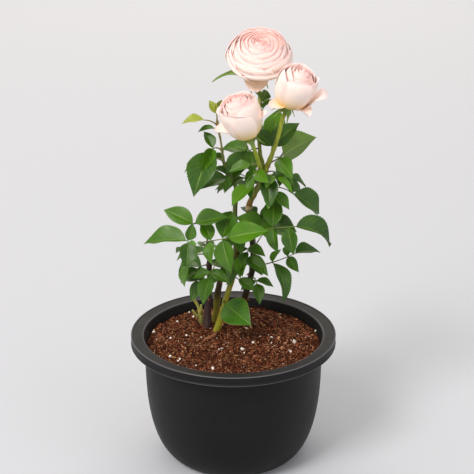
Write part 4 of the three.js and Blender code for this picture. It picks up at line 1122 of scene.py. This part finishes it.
def petal_face(name, foot, body, rim, heart, roughness):
    """A petal's face. Its colour runs from the foot to the rim along q, paler and warmer or pinker by the
    petal's tone, with fine veins that run up it: waves across v, broken by noise."""
    made, tree, shader = finish(
        name, Roughness=roughness, Specular_IOR_Level=0.25, Subsurface_Weight=0.3, Subsurface_Scale=1.0,
        Subsurface_Radius=(0.004, 0.0038, 0.0036), Sheen_Weight=0.1, Sheen_Roughness=0.4,
    )
    mark = add(tree, "Attribute", {}, "Vector", attribute_name="petal")
    q, v, tone = add(tree, "SeparateXYZ", {0: mark}).node.outputs
    low = add(tree, "MapRange", {0: q, 1: 0.12, 2: 0.56}, interpolation_type="SMOOTHSTEP")
    high = add(tree, "MapRange", {0: q, 1: 0.62, 2: 1.0}, interpolation_type="SMOOTHSTEP")
    colour = add(tree, "Mix", {0: low, 6: linear(foot), 7: linear(body)}, **COLOURS)
    colour = add(tree, "Mix", {0: high, 6: colour, 7: linear(rim)}, **COLOURS)
    colour = add(tree, "Mix", {0: tone, 6: colour, 7: linear(heart)}, **COLOURS)
    coords = add(tree, "TexCoord", {}, "Object")
    wavy = add(tree, "TexNoise", {"Vector": coords, "Scale": 60.0, "Detail": 2.0})
    across = add(tree, "Math", {0: v, 1: 14.0, 2: wavy}, operation="MULTIPLY_ADD")
    ridge = add(tree, "Math", {0: across, 1: 0.5}, operation="PINGPONG")
    faint = add(tree, "MapRange", {0: ridge, 1: 0.0, 2: 0.25, 3: 0.06, 4: 0.0})
    fill(shader, {
        "Base Color": add(tree, "Mix", {0: faint, 6: colour, 7: linear("#E7B09C")}, **COLOURS),
        "Normal": add(tree, "Bump", {"Height": ridge, "Strength": 0.12, "Distance": 0.0004}),
    })
    return made


# Petals are velvety, so they are matt with a faint sheen, and light passes through them. The outer face is
# creamier, the inner face paler and flushed towards the heart. Veins are 1 mm apart, drawn at 2 mm.
# The yellow at the petals' feet is their own, made deeper to paint the glow of light through their bases
petal_faces = [
    petal_face("velvet_petal_outer", "#F8CC58", "#FFEBDF", "#FFDFDC", "#FFD3CF", 0.6),
    petal_face("velvet_petal_inner", "#FADC90", "#FFE9E2", "#FFDFDD", "#FFCFCC", 0.55),
]
for k, (name, bloom) in enumerate(BLOOMS.items()):
    rng = np.random.default_rng(400 + k)
    base, axes = bloom_frame(bloom)
    petals = [guard(*row[:5], row[5:] or GUARD_FOOT, rng) for row in GUARDS[name]]
    for count, belly, rim, height, span, first, over, lip, *slant in ROUNDS[name]:
        inner = max(0, 1 - belly / ROUNDS[name][0][1])
        for n in range(count):
            azimuth = first + 360 / count * n + (rng.normal(0, 5) if n else 0)
            warm = np.clip(0.08 + 0.8 * inner**1.3 + rng.normal(0, 0.07), 0, 1)
            shape = [TIPPED[name], BULGE[name], sum(slant), 0.045 if count == 1 else 0]
            petals.append(petal(belly, rim, height, span, azimuth, over, lip, rng, warm, *shape))
    middles, tones = (np.array(part) for part in zip(*petals))
    rounds = sheet(base + middles @ axes * MM, PETAL_HALF, {"petal": tones})
    mass = heart(ROUNDS[name], TIPPED[name], BULGE[name][1], axes, base)
    build(f"petals_{name}", [rounds, mass], petal_faces, [f"bloom_{name}"])

# Studio
# A plain pale floor under soft lamps: a large one at the upper left in front, a weak one at the right, a wide
# one over the floor behind, and a faint low light such as a pale wall throws back, with an even sky. The
# camera looks down by 20 degrees from 1.2 m in front.
floor = bpy.data.meshes.new("floor")
floor.from_pydata([(-30, -30, 0), (30, -30, 0), (30, 30, 0), (-30, 30, 0)], [], [(0, 1, 2, 3)])
paper = dict(Base_Color=linear("#BCBFC6"), Roughness=0.8, Specular_IOR_Level=0.2)
floor.materials.append(finish("pale_floor_paper", **paper)[0])
floor = bpy.data.objects.new("floor", floor)
bpy.context.scene.collection.objects.link(floor)


def lamp(name, place, aim, size, power, colour):
    """A square soft lamp that faces a point."""
    light = bpy.data.lights.new(name, "AREA")
    light.shape = "SQUARE"
    light.size = size
    light.energy = power
    light.color = linear(colour)[:3]
    made = bpy.data.objects.new(name, light)
    made.location = place
    made.rotation_euler = (made.location - mathutils.Vector(aim)).to_track_quat("Z", "Y").to_euler()
    bpy.context.scene.collection.objects.link(made)


lamp("key", (-2.1, -2.4, 3.4), (0, 0, 0.25), 1.6, 156, "#FFFAF4")
lamp("fill", (3.2, -2.4, 1.8), (0, 0, 0.25), 3.0, 24, "#FAFAFF")
lamp("back", (0, 4.3, 4.2), (0, 4.7, 0), 5.0, 215, "#FFF3E2")
wall_light = bpy.data.lights.new("wall_light", "SUN")
wall_light.energy, wall_light.angle, wall_light.color = 0.42, 1.2, linear("#FFEFE2")[:3]
wall_light = bpy.data.objects.new("wall_light", wall_light)
wall_light.rotation_euler = (math.radians(84), 0, math.radians(-14))
bpy.context.scene.collection.objects.link(wall_light)
sky = bpy.data.worlds.new("pale_sky")
sky.use_nodes = True
fill(sky.node_tree.nodes["Background"], {"Color": linear("#F5F3F1"), "Strength": 0.72})
bpy.context.scene.world = sky
bpy.context.scene.view_settings.view_transform = "Standard"

camera = bpy.data.cameras.new("camera")
camera.sensor_width = 36
camera.lens = 87.7
camera.dof.use_dof = False
camera = bpy.data.objects.new("camera", camera)
camera.location = (0, -1.1781, 0.6954)
camera.rotation_euler = (math.radians(90 - 20.36), 0, math.radians(-0.198))
bpy.context.scene.collection.objects.link(camera)
bpy.context.scene.camera = camera
